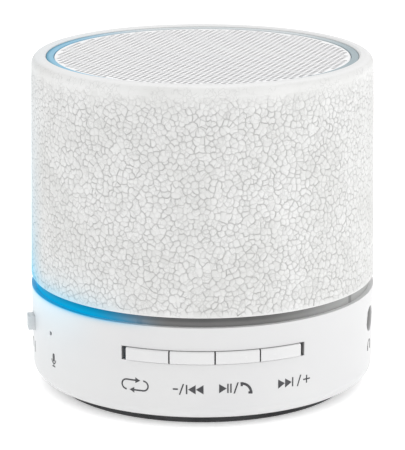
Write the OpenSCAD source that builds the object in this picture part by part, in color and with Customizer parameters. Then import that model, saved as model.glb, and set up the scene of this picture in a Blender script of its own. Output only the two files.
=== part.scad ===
// Round table-top mini loudspeaker: a crackle-finished sleeve over a base with four keys,
// a clear light guide that shows as a ring above and below the sleeve, and an upward driver.
// The origin is the centre of the foot's underside, +Z is up and the keys face -Y.

/* [Body] */
// Diameter of the body at its widest, where the sleeve meets the light ring
body_d = 60; // [56:0.5:76]
// Overall height, from the table to the top of the lip
body_h = 58; // [54:0.5:74]
// How much smaller the sleeve's radius is at the lip than at the seam
sleeve_draft = 0.6; // [0:0.1:1]
// Wall of the sleeve
sleeve_wall = 1.5; // [1.2:0.1:2]
// Width of the flat lip round the grille
lip_w = 2.5; // [2:0.1:3.5]
// Depth of the lip, down to the light guide's shoulder
lip_t = 2.4; // [1.8:0.1:3]
// Rounding of the lip's outer edge
lip_round = 1.6; // [0.8:0.1:1.8]
// Chamfer of the lip's inner edge
lip_chamfer = 0.3; // [0.1:0.1:0.6]

/* [Base] */
// Height of the base's top rim above the table
base_top = 17.7; // [17:0.1:24]
// Wall of the base
base_wall = 1.8; // [1.4:0.1:2.2]
// Thickness of the base's floor
base_floor = 1.8; // [1.6:0.1:2.4]
// How much smaller the base's radius is at its lower edge
base_draft = 0.15; // [0:0.05:0.4]
// Rounding of the base's lower edge
base_round = 2.3; // [1:0.1:3]
// Rounding inside the base, where its wall meets the floor
base_inner_round = 1.5; // [0.5:0.1:2]
// Height of the band of light guide that shows between base and sleeve
ring_h = 1.7; // [1:0.1:3]
// How far the light ring is set back from the body's widest radius
ring_recess = 0.8; // [0.4:0.1:1.2]

/* [Foot] */
// Diameter of the rubber foot
foot_d = 52.3; // [44:0.1:54]
// Height of the foot that shows under the base
foot_h = 1.6; // [1:0.1:2.4]
// Depth of the foot's recess in the base
foot_recess = 0.3; // [0.2:0.1:0.6]

/* [Keys] */
// Angle from one key's centre to the next, in degrees
key_pitch = 14.45; // [12:0.05:16]
// Height of the keys' centre line above the table
key_z = 12.6; // [12.4:0.1:13.4]
// Height of the window that the keys share
window_h = 2.4; // [2:0.1:3]
// Open angle between the last key and the window's end, in degrees
window_end = 1.7; // [1:0.1:3]
// Gap between two keys
key_gap = 0.25; // [0.15:0.05:0.5]
// Gap above and below a key in the window
key_clear = 0.1; // [0.08:0.01:0.2]
// How far a key stands out of the base
key_proud = 0.35; // [0.1:0.05:0.8]
// Rounding of a key's front edges
key_round = 0.3; // [0.1:0.05:0.5]
// Travel of a key when it is pressed
key_travel = 0.4; // [0.2:0.05:0.6]

/* [Switch and ports] */
// Angle of the power switch from the front, in degrees, positive to the right
switch_angle = -85; // [-95:1:-80]
// Height of the power switch above the table
switch_z = 11.6; // [11.4:0.1:13]
// Width of the switch knob
knob_w = 2.7; // [2:0.1:3.5]
// Height of the switch knob
knob_h = 2.4; // [2:0.1:3.4]
// How far the knob stands out of the base
knob_proud = 1; // [0.5:0.1:1.5]
// Travel of the knob from on to off
knob_travel = 2.4; // [1.5:0.1:2.8]
// Angle of the microphone's hole from the front, in degrees
mic_angle = -63.8; // [-66:0.1:-60]
// Height of the microphone's hole above the table
mic_z = 12.2; // [12:0.1:13]
// Diameter of the microphone's hole
mic_hole_d = 0.8; // [0.6:0.1:1.2]
// Angle of the audio jack from the front, in degrees
jack_angle = 71.6; // [68:0.1:76]
// Bore of the audio jack, for a 3.5 mm plug
jack_bore_d = 3.6; // [3.6:0.05:3.7]
// Outside diameter of the jack's nose, where it shows in the wall
jack_nose_d = 4.3; // [4.2:0.1:4.8]
// Depth of the jack's bore
jack_depth = 13.5; // [12:0.5:14]
// Angle of the charging socket from the front, in degrees
usb_angle = 104; // [98:1:112]
// Angle of the memory card socket from the front, in degrees
card_angle = 180; // [176:1:184]

/* [Electronics] */
// Height of the main board's top face above the table
board_top = 10.1; // [9.8:0.1:10.2]
// Thickness of the main board
board_t = 1; // [0.8:0.1:1.2]
// Gap between the main board's edge and the base's wall
board_margin = 2.7; // [2.5:0.1:3]
// Length of the battery
battery_l = 25; // [20:0.5:26]
// Width of the battery
battery_w = 18; // [14:0.5:22]
// Thickness of the battery
battery_t = 4.6; // [3.5:0.1:4.8]
// Thickness of the foam pad under the battery
pad_t = 0.4; // [0.2:0.1:0.6]

/* [Driver] */
// Diameter of the driver's round flange
driver_d = 40; // [33:0.5:41]
// Depth from the flange's seat to the basket's bottom
basket_depth = 9; // [8:0.1:10]
// Diameter of the magnet
magnet_d = 28; // [24:0.5:29]
// Thickness of the magnet
magnet_t = 6; // [4:0.5:8]
// Outside diameter of the voice coil's former
coil_d = 13.4; // [12:0.1:14]
// Travel of the diaphragm each way
cone_travel = 0.5; // [0.3:0.1:0.6]

/* [Grille and guide] */
// Width of the band of light guide that shows round the grille
channel_w = 1.45; // [1:0.05:2]
// How far the grille's face is below the lip
grille_drop = 0.5; // [0.2:0.1:1]
// Thickness of the grille's sheet
grille_t = 0.6; // [0.4:0.1:1]
// Wall of the light guide's tube
guide_wall = 1.4; // [1:0.1:1.6]
// Wall of the driver's chamber
chamber_wall = 1.4; // [1.2:0.1:2]
// Thickness of the chamber's top, which the driver hangs from
chamber_top_t = 2; // [1.5:0.1:3]

/* [Hidden] */
$fn = 96;
// Overlap that lets one solid cut cleanly through another
eps = 0.5;
// Gap between two pieces that only sit next to each other
seat_clear = 0.1;
// Gap between a moving piece and a fixed one
slide_clear = 0.15;
// Radial running fit of a plunger in its switch
running_clear = 0.06;

body_r = body_d / 2;
seam_z = base_top + ring_h;
sleeve_top_r = body_r - sleeve_draft;
lip_r = sleeve_top_r - lip_w;
lip_under = body_h - lip_t;
base_low_r = body_r - base_draft;
base_in_r = body_r - base_wall;
floor_top = foot_h + base_floor;
foot_r = foot_d / 2;

// Light guide, from the outside in
ring_r = body_r - ring_recess;
guide_r = sleeve_top_r - sleeve_wall - 2 * seat_clear;
guide_in_r = guide_r - guide_wall;
guide_nose_r = lip_r - seat_clear;
guide_top = body_h - 0.4;
guide_spigot = 1.5;
grille_r = lip_r - channel_w;
grille_z = body_h - grille_drop;
rim_t = 0.6;
cloth_t = 0.35;

// Chamber under the grille's rim
chamber_r = grille_r - 0.05;
chamber_in_r = chamber_r - chamber_wall;
chamber_top = body_h - 4.3;
led_board_t = 1;
chamber_low = seam_z + 1.1;
rib_count = 6;
rib_w = 1.2;

// Posts that the long case screws pass through
post_count = 4;
post_start = 45;
post_ring = base_in_r - 8.7;
post_r = 3.2;
chamber_post_r = 2.8;
post_meet = base_top - 3.7;
thread_top = chamber_low + 5;
case_screw_r = 1.1;
case_head_r = 2.1;
case_head_t = 1.5;
case_head_z = 3;
gusset_w = 1.6;

// Main board
board_r = base_in_r - board_margin;
board_low = board_top - board_t;
board_screw_r = 1;
board_head_r = 1.9;
board_head_t = 1.2;
standoff_r = 2.2;
board_screw_places = [[0, board_r - 5.5], [100, 15], [-100, 15]];
lead_hole_r = 1.7;
lead_hole = [-9, -12];

// Keys
key_angles = [for (i = [-1.5:1:1.5]) i * key_pitch];
key_flange_t = 1;
key_flange_r = base_in_r - 0.3;
key_back_r = key_flange_r - key_flange_t;
key_flange_lap = 0.75;
key_face_h = window_h - 2 * key_clear;
key_width = key_pitch - key_gap / body_r * 180 / PI;
window_angle = len(key_angles) * key_pitch + 2 * window_end;

// Push switches behind the keys
plunger_r = 0.8;
plunger_l = 2;
plunger_front = sqrt(key_back_r * key_back_r - plunger_r * plunger_r) - 0.01;
tact_front = key_back_r - 1.1;
tact_l = 3.2;
tact_w = 4.4;
tact_h = 4;

// Slide switch behind the knob
knob_plate_t = 0.8;
knob_plate_front = base_in_r - 1.4;
knob_plate_h = knob_h + 1.6;
slot_l = knob_w + knob_travel + 2 * seat_clear;
knob_plate_l = slot_l + knob_travel + 0.6;
knob_back = knob_plate_front - knob_plate_t;
lever_l = 1.4;
lever_w = 1.4;
lever_h = 1.5;
slide_l = 4.2;
slide_w = 8.6;
slide_h = 4.2;
grip_count = 3;

// Sockets
jack_w = 6.2;
jack_h = 5;
jack_front = base_in_r - 0.8;
jack_face = body_r - 0.8;
usb_w = 7.5;
usb_h = 2.6;
usb_l = 5.6;
usb_face = body_r - 1.2;
usb_skin = 0.35;
card_w = 14.6;
card_h = 1.9;
card_l = 14;
card_slot_w = 11.2;
card_slot_h = 0.9;
card_face = sqrt(base_in_r * base_in_r - card_w * card_w / 4) - 0.2;
card_z = board_top + card_h / 2;

// Microphone behind its hole
mic_r = 2;
mic_l = 1.5;
boot_t = 0.6;
boot_face = sqrt(base_in_r * base_in_r - (mic_r + boot_t) * (mic_r + boot_t)) - 0.02;

// Driver, from its flange down
driver_r = driver_d / 2;
magnet_r = magnet_d / 2;
flange_t = 1;
flange_w = 2.6;
basket_t = 0.8;
basket_low = chamber_top - basket_depth;
basket_low_r = magnet_r + 0.7;
shelf_z = basket_low + 2.3;
shelf_w = 1.8;
plate_t = 2;
plate_r = magnet_r - 0.8;
pole_gap = 0.3;
former_t = 0.2;
winding_t = 0.3;
former_r = coil_d / 2;
pole_r = former_r - former_t - pole_gap;
plate_hole_r = former_r + winding_t + pole_gap;
magnet_top = basket_low - plate_t;
magnet_low = magnet_top - magnet_t;
ear_ring = driver_r + 1.6;
ear_r = 2.4;
driver_screw_r = 0.9;
driver_head_r = 1.7;
driver_head_t = 1.1;
driver_screw_l = 5;
boss_r = 2.3;
boss_h = 3.4;
cone_r = driver_r - 4.6;
cone_t = 0.4;
cone_low = basket_low + 3.2;
cone_rim = 0.8;
cone_top = chamber_top + flange_t;
film_t = 0.3;
roll_r = (driver_r - flange_w - cone_r) / 2 + film_t / 2;
cap_r = former_r + 0.9;
cap_rise = 2.2;
gasket_t = 0.6;

// Turns its children so that their +X points out of the body at this angle from the front
module facing(angle) {
    rotate([0, 0, angle - 90]) children();
}

// Box between two corners
module block(low, high) {
    translate(low) cube(high - low);
}

// Ring round the body's axis
module ring(outer, inner, low, high) {
    difference() {
        translate([0, 0, low]) cylinder(h = high - low, r = outer);
        translate([0, 0, low - eps]) cylinder(h = high - low + 2 * eps, r = inner);
    }
}

// Cylinder that lies along +X
module rod_x(from, to, r, z) {
    translate([from, 0, z]) rotate([0, 90, 0]) cylinder(h = to - from, r = r);
}

// Places its children on each case post
module at_posts() {
    for (i = [0:post_count - 1]) {
        facing(post_start + i * 360 / post_count) translate([post_ring, 0, 0]) children();
    }
}

// Places its children on each of the main board's screws
module at_board_screws() {
    for (place = board_screw_places) {
        facing(place[0]) translate([place[1], 0, 0]) children();
    }
}

// Places its children on each of the driver's four ears
module at_ears() {
    for (i = [0:3]) {
        rotate([0, 0, 45 + 90 * i]) translate([ear_ring, 0, 0]) children();
    }
}

// Screw with its head's underside at z = 0 and its shank downwards
module screw_down(shank_r, shank_l, head_r, head_t) {
    translate([0, 0, -shank_l]) cylinder(h = shank_l, r = shank_r, $fn = 32);
    difference() {
        cylinder(h = head_t, r = head_r, $fn = 32);
        cross_recess(head_r * 0.6, head_t);
    }
}

// Cross recess cut into the top of a screw's head
module cross_recess(reach, head_t) {
    slot = 0.4;
    for (turn = [0, 90]) {
        rotate([0, 0, turn]) block([-reach, -slot / 2, head_t * 0.4], [reach, slot / 2, head_t + eps]);
    }
}

// Straight run of wire between two points
module wire_run(a, b, r) {
    d = b - a;
    l = norm(d);
    translate(a) rotate([0, acos(d[2] / l), atan2(d[1], d[0])]) cylinder(h = l, r = r, $fn = 16);
}

// Wire along a list of points, with a round corner at each inner point
module wire(points, r) {
    for (i = [0:len(points) - 2]) {
        wire_run(points[i], points[i + 1], r);
    }
    for (i = [1:1:len(points) - 2]) {
        translate(points[i]) sphere(r = r, $fn = 16);
    }
}

// Outer sleeve with its draft and its rounded lip
module upper_sleeve() {
    color("whitesmoke") rotate_extrude() difference() {
        union() {
            polygon([
                [lip_r, seam_z], [body_r, seam_z], [sleeve_top_r, body_h - lip_round],
                [sleeve_top_r - lip_round, body_h], [lip_r + lip_chamfer, body_h],
                [lip_r, body_h - lip_chamfer]
            ]);
            translate([sleeve_top_r - lip_round, body_h - lip_round]) intersection() {
                circle(r = lip_round);
                square(lip_round);
            }
        }
        polygon([
            [0, seam_z - eps], [body_r - sleeve_wall, seam_z - eps], [body_r - sleeve_wall, seam_z],
            [sleeve_top_r - sleeve_wall, lip_under], [0, lip_under]
        ]);
    }
}

// Clear tube that carries the light up the sleeve, with a ring at each end
module light_guide() {
    color("lightblue", 0.6) rotate_extrude() polygon([
        [guide_in_r, base_top - guide_spigot], [base_in_r - seat_clear, base_top - guide_spigot],
        [base_in_r - seat_clear, base_top], [ring_r, base_top], [ring_r, seam_z], [guide_r, seam_z],
        [guide_r, lip_under - seat_clear], [guide_nose_r, lip_under - seat_clear], [guide_nose_r, guide_top],
        [grille_r + seat_clear, guide_top], [grille_r + seat_clear, lip_under - guide_wall],
        [guide_in_r, lip_under - guide_wall]
    ]);
}

// Shallow pressed cup: the perforated face and its turned-down rim
module grille() {
    color("white") rotate_extrude() difference() {
        union() {
            square_at([0, grille_z - 2 * rim_t], [grille_r - rim_t, grille_z]);
            square_at([0, chamber_top], [grille_r, grille_z - rim_t]);
            translate([grille_r - rim_t, grille_z - rim_t]) circle(r = rim_t);
        }
        square_at([-eps, chamber_top - eps], [grille_r - rim_t, grille_z - grille_t]);
    }
}

// Rectangle between two corners
module square_at(low, high) {
    translate(low) square(high - low);
}

// Thin cloth that keeps dust off the driver
module grille_cloth() {
    color("lightgrey") translate([0, 0, grille_z - grille_t - cloth_t])
        cylinder(h = cloth_t, r = grille_r - rim_t - seat_clear);
}

// Driver's chamber: a tube with a top that the driver hangs from, and four screw posts
module chamber() {
    color("white") difference() {
        union() {
            ring(chamber_r, chamber_in_r, chamber_low, chamber_top);
            ring(chamber_r, driver_r - flange_w + 1.4, chamber_top - chamber_top_t, chamber_top);
            at_ears() translate([0, 0, chamber_top - chamber_top_t - boss_h])
                cylinder(h = chamber_top_t + boss_h, r = boss_r);
            at_posts() translate([0, 0, post_meet]) cylinder(h = thread_top - post_meet, r = chamber_post_r);
            at_posts() block([chamber_post_r / 2, -gusset_w / 2, chamber_low],
                [chamber_in_r - post_ring + chamber_wall / 2, gusset_w / 2, thread_top]);
            for (i = [0:rib_count - 1]) {
                rotate([0, 0, i * 360 / rib_count])
                    block([chamber_r - chamber_wall / 2, -rib_w / 2, chamber_low],
                        [guide_in_r - seat_clear, rib_w / 2, lip_under - 2 * guide_wall]);
            }
        }
        at_posts() translate([0, 0, post_meet - eps])
            cylinder(h = thread_top - post_meet, r = case_screw_r, $fn = 32);
        at_ears() translate([0, 0, chamber_top - driver_screw_l + flange_t])
            cylinder(h = driver_screw_l, r = driver_screw_r, $fn = 32);
    }
}

// Pressed steel basket with four ears and four windows
module driver_basket() {
    flange_in_r = driver_r - flange_w;
    windows = 4;
    color("silver") difference() {
        union() {
            rotate_extrude() polygon([
                [driver_r, chamber_top], [driver_r, chamber_top + flange_t],
                [flange_in_r, chamber_top + flange_t], [flange_in_r, chamber_top - basket_t],
                [basket_low_r - 0.3, shelf_z + basket_t], [basket_low_r - 0.3, shelf_z],
                [basket_low_r - shelf_w - 0.3, shelf_z], [basket_low_r - shelf_w - 0.3, shelf_z - basket_t],
                [basket_low_r - basket_t, shelf_z - basket_t],
                [basket_low_r - basket_t, basket_low + basket_t],
                [plate_hole_r + 0.3, basket_low + basket_t], [plate_hole_r + 0.3, basket_low],
                [basket_low_r, basket_low], [basket_low_r, shelf_z],
                [flange_in_r + basket_t, chamber_top - basket_t], [flange_in_r + basket_t, chamber_top]
            ]);
            at_ears() translate([0, 0, chamber_top]) cylinder(h = flange_t, r = ear_r);
            facing(180) block([basket_low_r - 2 * basket_t, -3.5, basket_low],
                [basket_low_r + 2.7, 3.5, basket_low + basket_t]);
        }
        at_ears() translate([0, 0, chamber_top - eps])
            cylinder(h = flange_t + 2 * eps, r = driver_screw_r + seat_clear, $fn = 32);
        for (i = [0:windows - 1]) {
            rotate([0, 0, i * 360 / windows]) rod_x(basket_low_r - shelf_w / 2, driver_r, 2, shelf_z + 2.9);
        }
    }
}

// Ferrite ring
module driver_magnet() {
    color("dimgrey") ring(magnet_r, plate_hole_r + 1.5, magnet_low, magnet_top);
}

// Steel washer over the magnet
module driver_top_plate() {
    color("silver") ring(plate_r, plate_hole_r, magnet_top, basket_low);
}

// Steel back plate with its pole
module driver_yoke() {
    color("silver") union() {
        translate([0, 0, magnet_low - plate_t]) cylinder(h = plate_t, r = plate_r);
        translate([0, 0, magnet_low - plate_t / 2])
            cylinder(h = basket_low - magnet_low + plate_t / 2, r = pole_r);
    }
}

// Card ring on the flange, over the surround's edge
module driver_gasket() {
    color("black")
    ring(driver_r - 0.2, driver_r - flange_w + 0.2, cone_top + film_t, cone_top + film_t + gasket_t);
}

// Small solder board under the basket's tab
module driver_terminals() {
    color("tan") facing(180) block([magnet_r + 0.6, -3, basket_low - 1], [magnet_r + 3.4, 3, basket_low]);
}

module driver_screws() {
    color("silver") at_ears() translate([0, 0, chamber_top + flange_t])
        screw_down(driver_screw_r, driver_screw_l - eps, driver_head_r, driver_head_t);
}

// Former with its winding, in the magnet's gap
module voice_coil() {
    winding_low = magnet_top - cone_travel;
    winding_high = basket_low + cone_travel;
    color("peru") rotate_extrude() polygon([
        [former_r - former_t, winding_low - 0.5], [former_r, winding_low - 0.5], [former_r, winding_low],
        [former_r + winding_t, winding_low], [former_r + winding_t, winding_high],
        [former_r, winding_high], [former_r, cone_low + 0.8], [former_r - former_t, cone_low + 0.8]
    ]);
}

// Corrugated ring that centres the coil
module spider() {
    folds = 8;
    outer = basket_low_r - 0.4;
    step = (outer - shelf_w - former_r) / folds;
    wave = [for (i = [0:folds]) [former_r + i * step, shelf_z + (i % 2) * 0.5]];
    upper = [for (i = [folds:-1:0]) wave[i] + [0, film_t]];
    color("goldenrod") rotate_extrude() polygon(concat(
        wave, [[outer, shelf_z], [outer, shelf_z + film_t]], upper));
}

// Paper cone with a flat rim for the surround
module cone() {
    color("black") rotate_extrude() polygon([
        [former_r, cone_low], [cone_r - cone_rim, cone_top - cone_t], [cone_r, cone_top - cone_t],
        [cone_r, cone_top], [cone_r - cone_rim, cone_top], [former_r, cone_low + cone_t + 0.1]
    ]);
}

// Domed cap over the coil
module dust_cap() {
    rise_from = cone_low + cone_t + 0.1
        + (cap_r - former_r) * (cone_top - cone_low - cone_t - 0.1) / (cone_r - cone_rim - former_r);
    dome_r = (cap_r * cap_r + cap_rise * cap_rise) / (2 * cap_rise);
    color("darkslategrey") rotate_extrude() intersection() {
        difference() {
            translate([0, rise_from + cap_rise - dome_r]) circle(r = dome_r);
            translate([0, rise_from + cap_rise - dome_r]) circle(r = dome_r - film_t);
        }
        square_at([0, rise_from + 0.02], [cap_r, rise_from + 2 * cap_rise]);
    }
}

// Half-roll surround between the cone's rim and the flange
module surround() {
    roll_mid = cone_r + roll_r - film_t / 2;
    color("black") rotate_extrude() union() {
        intersection() {
            translate([roll_mid, cone_top]) difference() {
                circle(r = roll_r);
                circle(r = roll_r - film_t);
            }
            square_at([cone_r - cone_rim, cone_top], [driver_r, cone_top + 2 * roll_r]);
        }
        square_at([cone_r - cone_rim, cone_top], [roll_mid - roll_r + film_t, cone_top + film_t]);
        square_at([roll_mid + roll_r - film_t, cone_top], [driver_r - 0.4, cone_top + film_t]);
    }
}

// Base: a cup with the key window, the port openings, the posts and the board's standoffs
module base_shell() {
    color("white") difference() {
        union() {
            rotate_extrude() difference() {
                base_outline();
                base_cavity();
            }
            at_posts() translate([0, 0, floor_top - eps])
                cylinder(h = post_meet - floor_top + eps, r = post_r);
            at_board_screws() translate([0, 0, floor_top - eps])
                cylinder(h = board_low - floor_top + eps, r = standoff_r);
        }
        translate([0, 0, foot_h - eps]) cylinder(h = foot_recess + eps, r = foot_r + seat_clear);
        at_posts() base_screw_holes();
        at_board_screws() translate([0, 0, floor_top]) cylinder(h = board_top, r = board_screw_r, $fn = 32);
        wall_cuts();
    }
}

// Outer half-section of the base
module base_outline() {
    polygon([
        [0, foot_h], [base_low_r - base_round, foot_h], [base_low_r, foot_h + base_round],
        [body_r, base_top], [0, base_top]
    ]);
    translate([base_low_r - base_round, foot_h + base_round]) circle(r = base_round);
}

// Inner half-section of the base
module base_cavity() {
    square_at([-eps, floor_top], [base_in_r - base_inner_round, base_top + eps]);
    square_at([-eps, floor_top + base_inner_round], [base_in_r, base_top + eps]);
    translate([base_in_r - base_inner_round, floor_top + base_inner_round]) circle(r = base_inner_round);
}

// Clearance hole and counterbore of one case screw
module base_screw_holes() {
    cylinder(h = base_top, r = case_screw_r + seat_clear, $fn = 32);
    cylinder(h = case_head_z + case_head_t, r = case_head_r + 2 * seat_clear, $fn = 48);
}

// Everything that is cut through the base's wall
module wall_cuts() {
    out = body_r + eps;
    inside = base_in_r - eps;
    rotate([0, 0, -90 - window_angle / 2]) rotate_extrude(angle = window_angle)
        square_at([inside, key_z - window_h / 2], [out, key_z + window_h / 2]);
    facing(mic_angle) rod_x(inside, out, mic_hole_d / 2, mic_z, $fn = 24);
    facing(switch_angle) block([inside - eps, -slot_l / 2, switch_z - knob_h / 2 - slide_clear],
        [out, slot_l / 2, switch_z + knob_h / 2 + slide_clear]);
    facing(jack_angle) rod_x(inside - eps, out, jack_nose_d / 2 + seat_clear, key_z);
    facing(usb_angle)
        rounded_bar(inside - 2 * eps, out, usb_w + 0.8, usb_h + 0.8, 0.8, board_top + usb_h / 2);
    facing(card_angle) rounded_bar(card_face - eps, out, card_slot_w + 0.8, card_slot_h + 0.9, 0.6, card_z);
}

// Bar along +X with rounded corners, centred on a height
module rounded_bar(from, to, w, h, r, z) {
    hull_w = w / 2 - r;
    hull_h = h / 2 - r;
    union() {
        block([from, -hull_w, z - h / 2], [to, hull_w, z + h / 2]);
        block([from, -w / 2, z - hull_h], [to, w / 2, z + hull_h]);
        for (y = [-hull_w, hull_w]) {
            for (dz = [-hull_h, hull_h]) {
                translate([0, y, 0]) rod_x(from, to, r, z + dz, $fn = 32);
            }
        }
    }
}

// Rubber disc that the speaker stands on, with a small chamfer at the table
module rubber_foot() {
    chamfer = 0.3;
    color("#303030") rotate_extrude() polygon([
        [0, 0], [foot_r - chamfer, 0], [foot_r, chamfer],
        [foot_r, foot_h + foot_recess], [0, foot_h + foot_recess]
    ]);
}

module case_screws() {
    color("silver") at_posts() translate([0, 0, case_head_z + case_head_t]) mirror([0, 0, 1])
        screw_down(case_screw_r, thread_top - case_head_z - case_head_t - 2 * eps, case_head_r, case_head_t);
}

// Round main board, cut out for the case posts and the battery's leads
module main_board() {
    color("seagreen") difference() {
        translate([0, 0, board_low]) cylinder(h = board_t, r = board_r);
        at_posts() translate([0, 0, board_low - eps])
            cylinder(h = board_t + 2 * eps, r = post_r + 2 * seat_clear);
        at_board_screws() translate([0, 0, board_low - eps])
            cylinder(h = board_t + 2 * eps, r = board_screw_r + seat_clear, $fn = 32);
        translate([lead_hole[0], lead_hole[1], board_low - eps])
            cylinder(h = board_t + 2 * eps, r = lead_hole_r);
    }
}

module board_screws() {
    color("silver") at_board_screws() translate([0, 0, board_top])
        screw_down(board_screw_r, board_top - floor_top - eps, board_head_r, board_head_t);
}

// Flat chip on the main board, centred on a place
module chip(place, w, d, h) {
    translate([place[0], place[1], board_top]) block([-w / 2, -d / 2, 0], [w / 2, d / 2, h]);
}

module bluetooth_chip() {
    color("#202020") chip([-4, -2], 6, 6, 0.9);
}

module amplifier_chip() {
    color("#202020") chip([6, 2], 5, 4, 1.5);
}

module crystal() {
    color("silver") chip([-9.5, -2], 3.2, 2.5, 0.8);
}

module capacitors() {
    color("slategrey") for (x = [-2, 4]) {
        translate([x, -9, board_top]) cylinder(h = 5.5, r = 2);
    }
}

// Narrow ring board under the chamber
module led_board() {
    color("white") ring(chamber_r - seat_clear, post_ring + chamber_post_r + 0.5,
        chamber_low - led_board_t, chamber_low);
}

// Light-emitting diodes that face out at the guide's lower ring
module leds() {
    led_count = 6;
    color("aliceblue") for (i = [0:led_count - 1]) {
        facing(30 + i * 360 / led_count)
            block(
                [chamber_r - 1.8, -1.4, chamber_low - led_board_t - 1.4],
                [chamber_r + 0.2, 1.4, chamber_low - led_board_t]
            );
    }
}

// Flat lithium pouch with rounded long edges
module battery() {
    edge = 1.2;
    low = floor_top + pad_t;
    color("silver") translate([0, 0, low + battery_t / 2]) rotate([0, 0, 90])
        translate([-battery_w / 2, 0, 0]) rounded_bar(0, battery_w, battery_l, battery_t, edge, 0);
}

module battery_pad() {
    color("grey") block([-battery_l / 2 + 2, -battery_w / 2 + 2, floor_top],
        [battery_l / 2 - 2, battery_w / 2 - 2, floor_top + pad_t]);
}

// Two wires from the driver's terminals down to the main board
module speaker_leads() {
    drop_y = magnet_r + 2.4;
    land_y = 9;
    run_z = board_top + 8;
    color("firebrick") for (x = [-1.4, 1.4]) {
        wire(
            [[x, drop_y, basket_low - 1], [x, drop_y, run_z], [x, land_y, run_z - 2], [x, land_y, board_top]],
            0.5
        );
    }
}

// Two wires from the battery, up through the main board
module battery_leads() {
    run_z = floor_top + pad_t + battery_t / 2;
    over_z = board_top + 1.5;
    land_y = lead_hole[1] + 3.4;
    color("firebrick") for (x = [-0.7, 0.7]) {
        wire([[lead_hole[0] + x, -battery_w / 2, run_z], [lead_hole[0] + x, lead_hole[1], run_z],
            [lead_hole[0] + x, lead_hole[1], over_z], [lead_hole[0] + x, land_y, over_z],
            [lead_hole[0] + x, land_y, board_top]], 0.5);
    }
}

// Three wires from the main board up to the ring board
module led_leads() {
    color("white") for (angle = [-117, -114, -111]) {
        facing(angle) translate([chamber_r - 1.8, 0, board_top])
            cylinder(h = chamber_low - led_board_t - board_top, r = 0.4, $fn = 16);
    }
}

// Audio socket with a round nose in the wall
module aux_jack() {
    color("#282828") facing(jack_angle) difference() {
        union() {
            block(
                [jack_face - jack_depth - 1, -jack_w / 2, key_z - jack_h / 2],
                [jack_front, jack_w / 2, key_z + jack_h / 2]
            );
            rod_x(jack_front - eps, jack_face, jack_nose_d / 2, key_z);
        }
        rod_x(jack_face - jack_depth, jack_face + eps, jack_bore_d / 2, key_z);
    }
}

// Charging socket: a folded metal shell with its tongue
module usb_socket() {
    mid = board_top + usb_h / 2;
    color("silver") facing(usb_angle) union() {
        difference() {
            rounded_bar(usb_face - usb_l, usb_face, usb_w, usb_h, 0.6, mid);
            rounded_bar(
                usb_face - usb_l + 1, usb_face + eps,
                usb_w - 2 * usb_skin, usb_h - 2 * usb_skin, 0.4, mid
            );
        }
        block([usb_face - usb_l + 0.5, -2, mid + 0.1], [usb_face - 0.6, 2, mid + 0.6]);
    }
}

// Memory card socket with a slot in its face
module card_socket() {
    color("silver") facing(card_angle) difference() {
        block([card_face - card_l, -card_w / 2, board_top], [card_face, card_w / 2, board_top + card_h]);
        block([card_face - card_l + 1, -card_slot_w / 2, card_z - card_slot_h / 2],
            [card_face + eps, card_slot_w / 2, card_z + card_slot_h / 2]);
    }
}

// Microphone capsule
module microphone() {
    color("silver") facing(mic_angle) rod_x(boot_face - boot_t - mic_l, boot_face - boot_t, mic_r, mic_z);
}

// Rubber boot that seals the capsule to the wall
module microphone_boot() {
    color("#303030") facing(mic_angle) difference() {
        rod_x(boot_face - boot_t - mic_l, boot_face, mic_r + boot_t, mic_z);
        rod_x(boot_face - boot_t - mic_l - eps, boot_face - boot_t, mic_r, mic_z);
        rod_x(boot_face - boot_t - eps, boot_face + eps, mic_hole_d, mic_z, $fn = 24);
    }
}

// Slide switch body with the slot that its lever runs in
module slide_switch() {
    front = knob_back - 0.2;
    lever_run = lever_w + knob_travel + 2 * slide_clear;
    color("silver") facing(switch_angle) difference() {
        block([front - slide_l, -slide_w / 2, board_top], [front, slide_w / 2, board_top + slide_h]);
        block([knob_back - lever_l - slide_clear, -lever_run / 2, switch_z - lever_h / 2 - slide_clear],
            [front + eps, lever_run / 2, switch_z + lever_h / 2 + slide_clear]);
    }
}

// Lever of the slide switch, behind the knob
module switch_lever() {
    color("#202020") facing(switch_angle) translate([0, knob_travel / 2, 0])
        block(
            [knob_back - lever_l, -lever_w / 2, switch_z - lever_h / 2],
            [knob_back, lever_w / 2, switch_z + lever_h / 2]
        );
}

// Knob in its slot, with a plate behind the wall and grip ridges on its face
module switch_knob() {
    outer = body_r + knob_proud;
    groove = knob_w / (2 * grip_count + 1);
    color("whitesmoke") facing(switch_angle) translate([0, knob_travel / 2, 0]) difference() {
        union() {
            block([knob_back, -knob_plate_l / 2, switch_z - knob_plate_h / 2],
                [knob_plate_front, knob_plate_l / 2, switch_z + knob_plate_h / 2]);
            block(
                [knob_back, -knob_w / 2, switch_z - knob_h / 2],
                [outer, knob_w / 2, switch_z + knob_h / 2]
            );
        }
        for (i = [0:grip_count - 1]) {
            translate([outer - 0.3, -knob_w / 2 + (2 * i + 1) * groove, 0])
                block([0, 0, switch_z - knob_h], [eps, groove, switch_z + knob_h]);
        }
    }
}

// Four side-push switches on the board's edge, one behind each key
module tact_switches() {
    color("silver") for (angle = key_angles) {
        facing(angle) difference() {
            block(
            [tact_front - tact_l, -tact_w / 2, board_top],
            [tact_front, tact_w / 2, board_top + tact_h]
        );
            rod_x(
                plunger_front - plunger_l - key_travel - slide_clear, tact_front + eps,
                plunger_r + running_clear, key_z
            );
        }
    }
}

// Plunger of one push switch, touching the back of its key
module plunger(angle) {
    color("#202020") facing(angle) rod_x(plunger_front - plunger_l, plunger_front, plunger_r, key_z);
}

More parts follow.
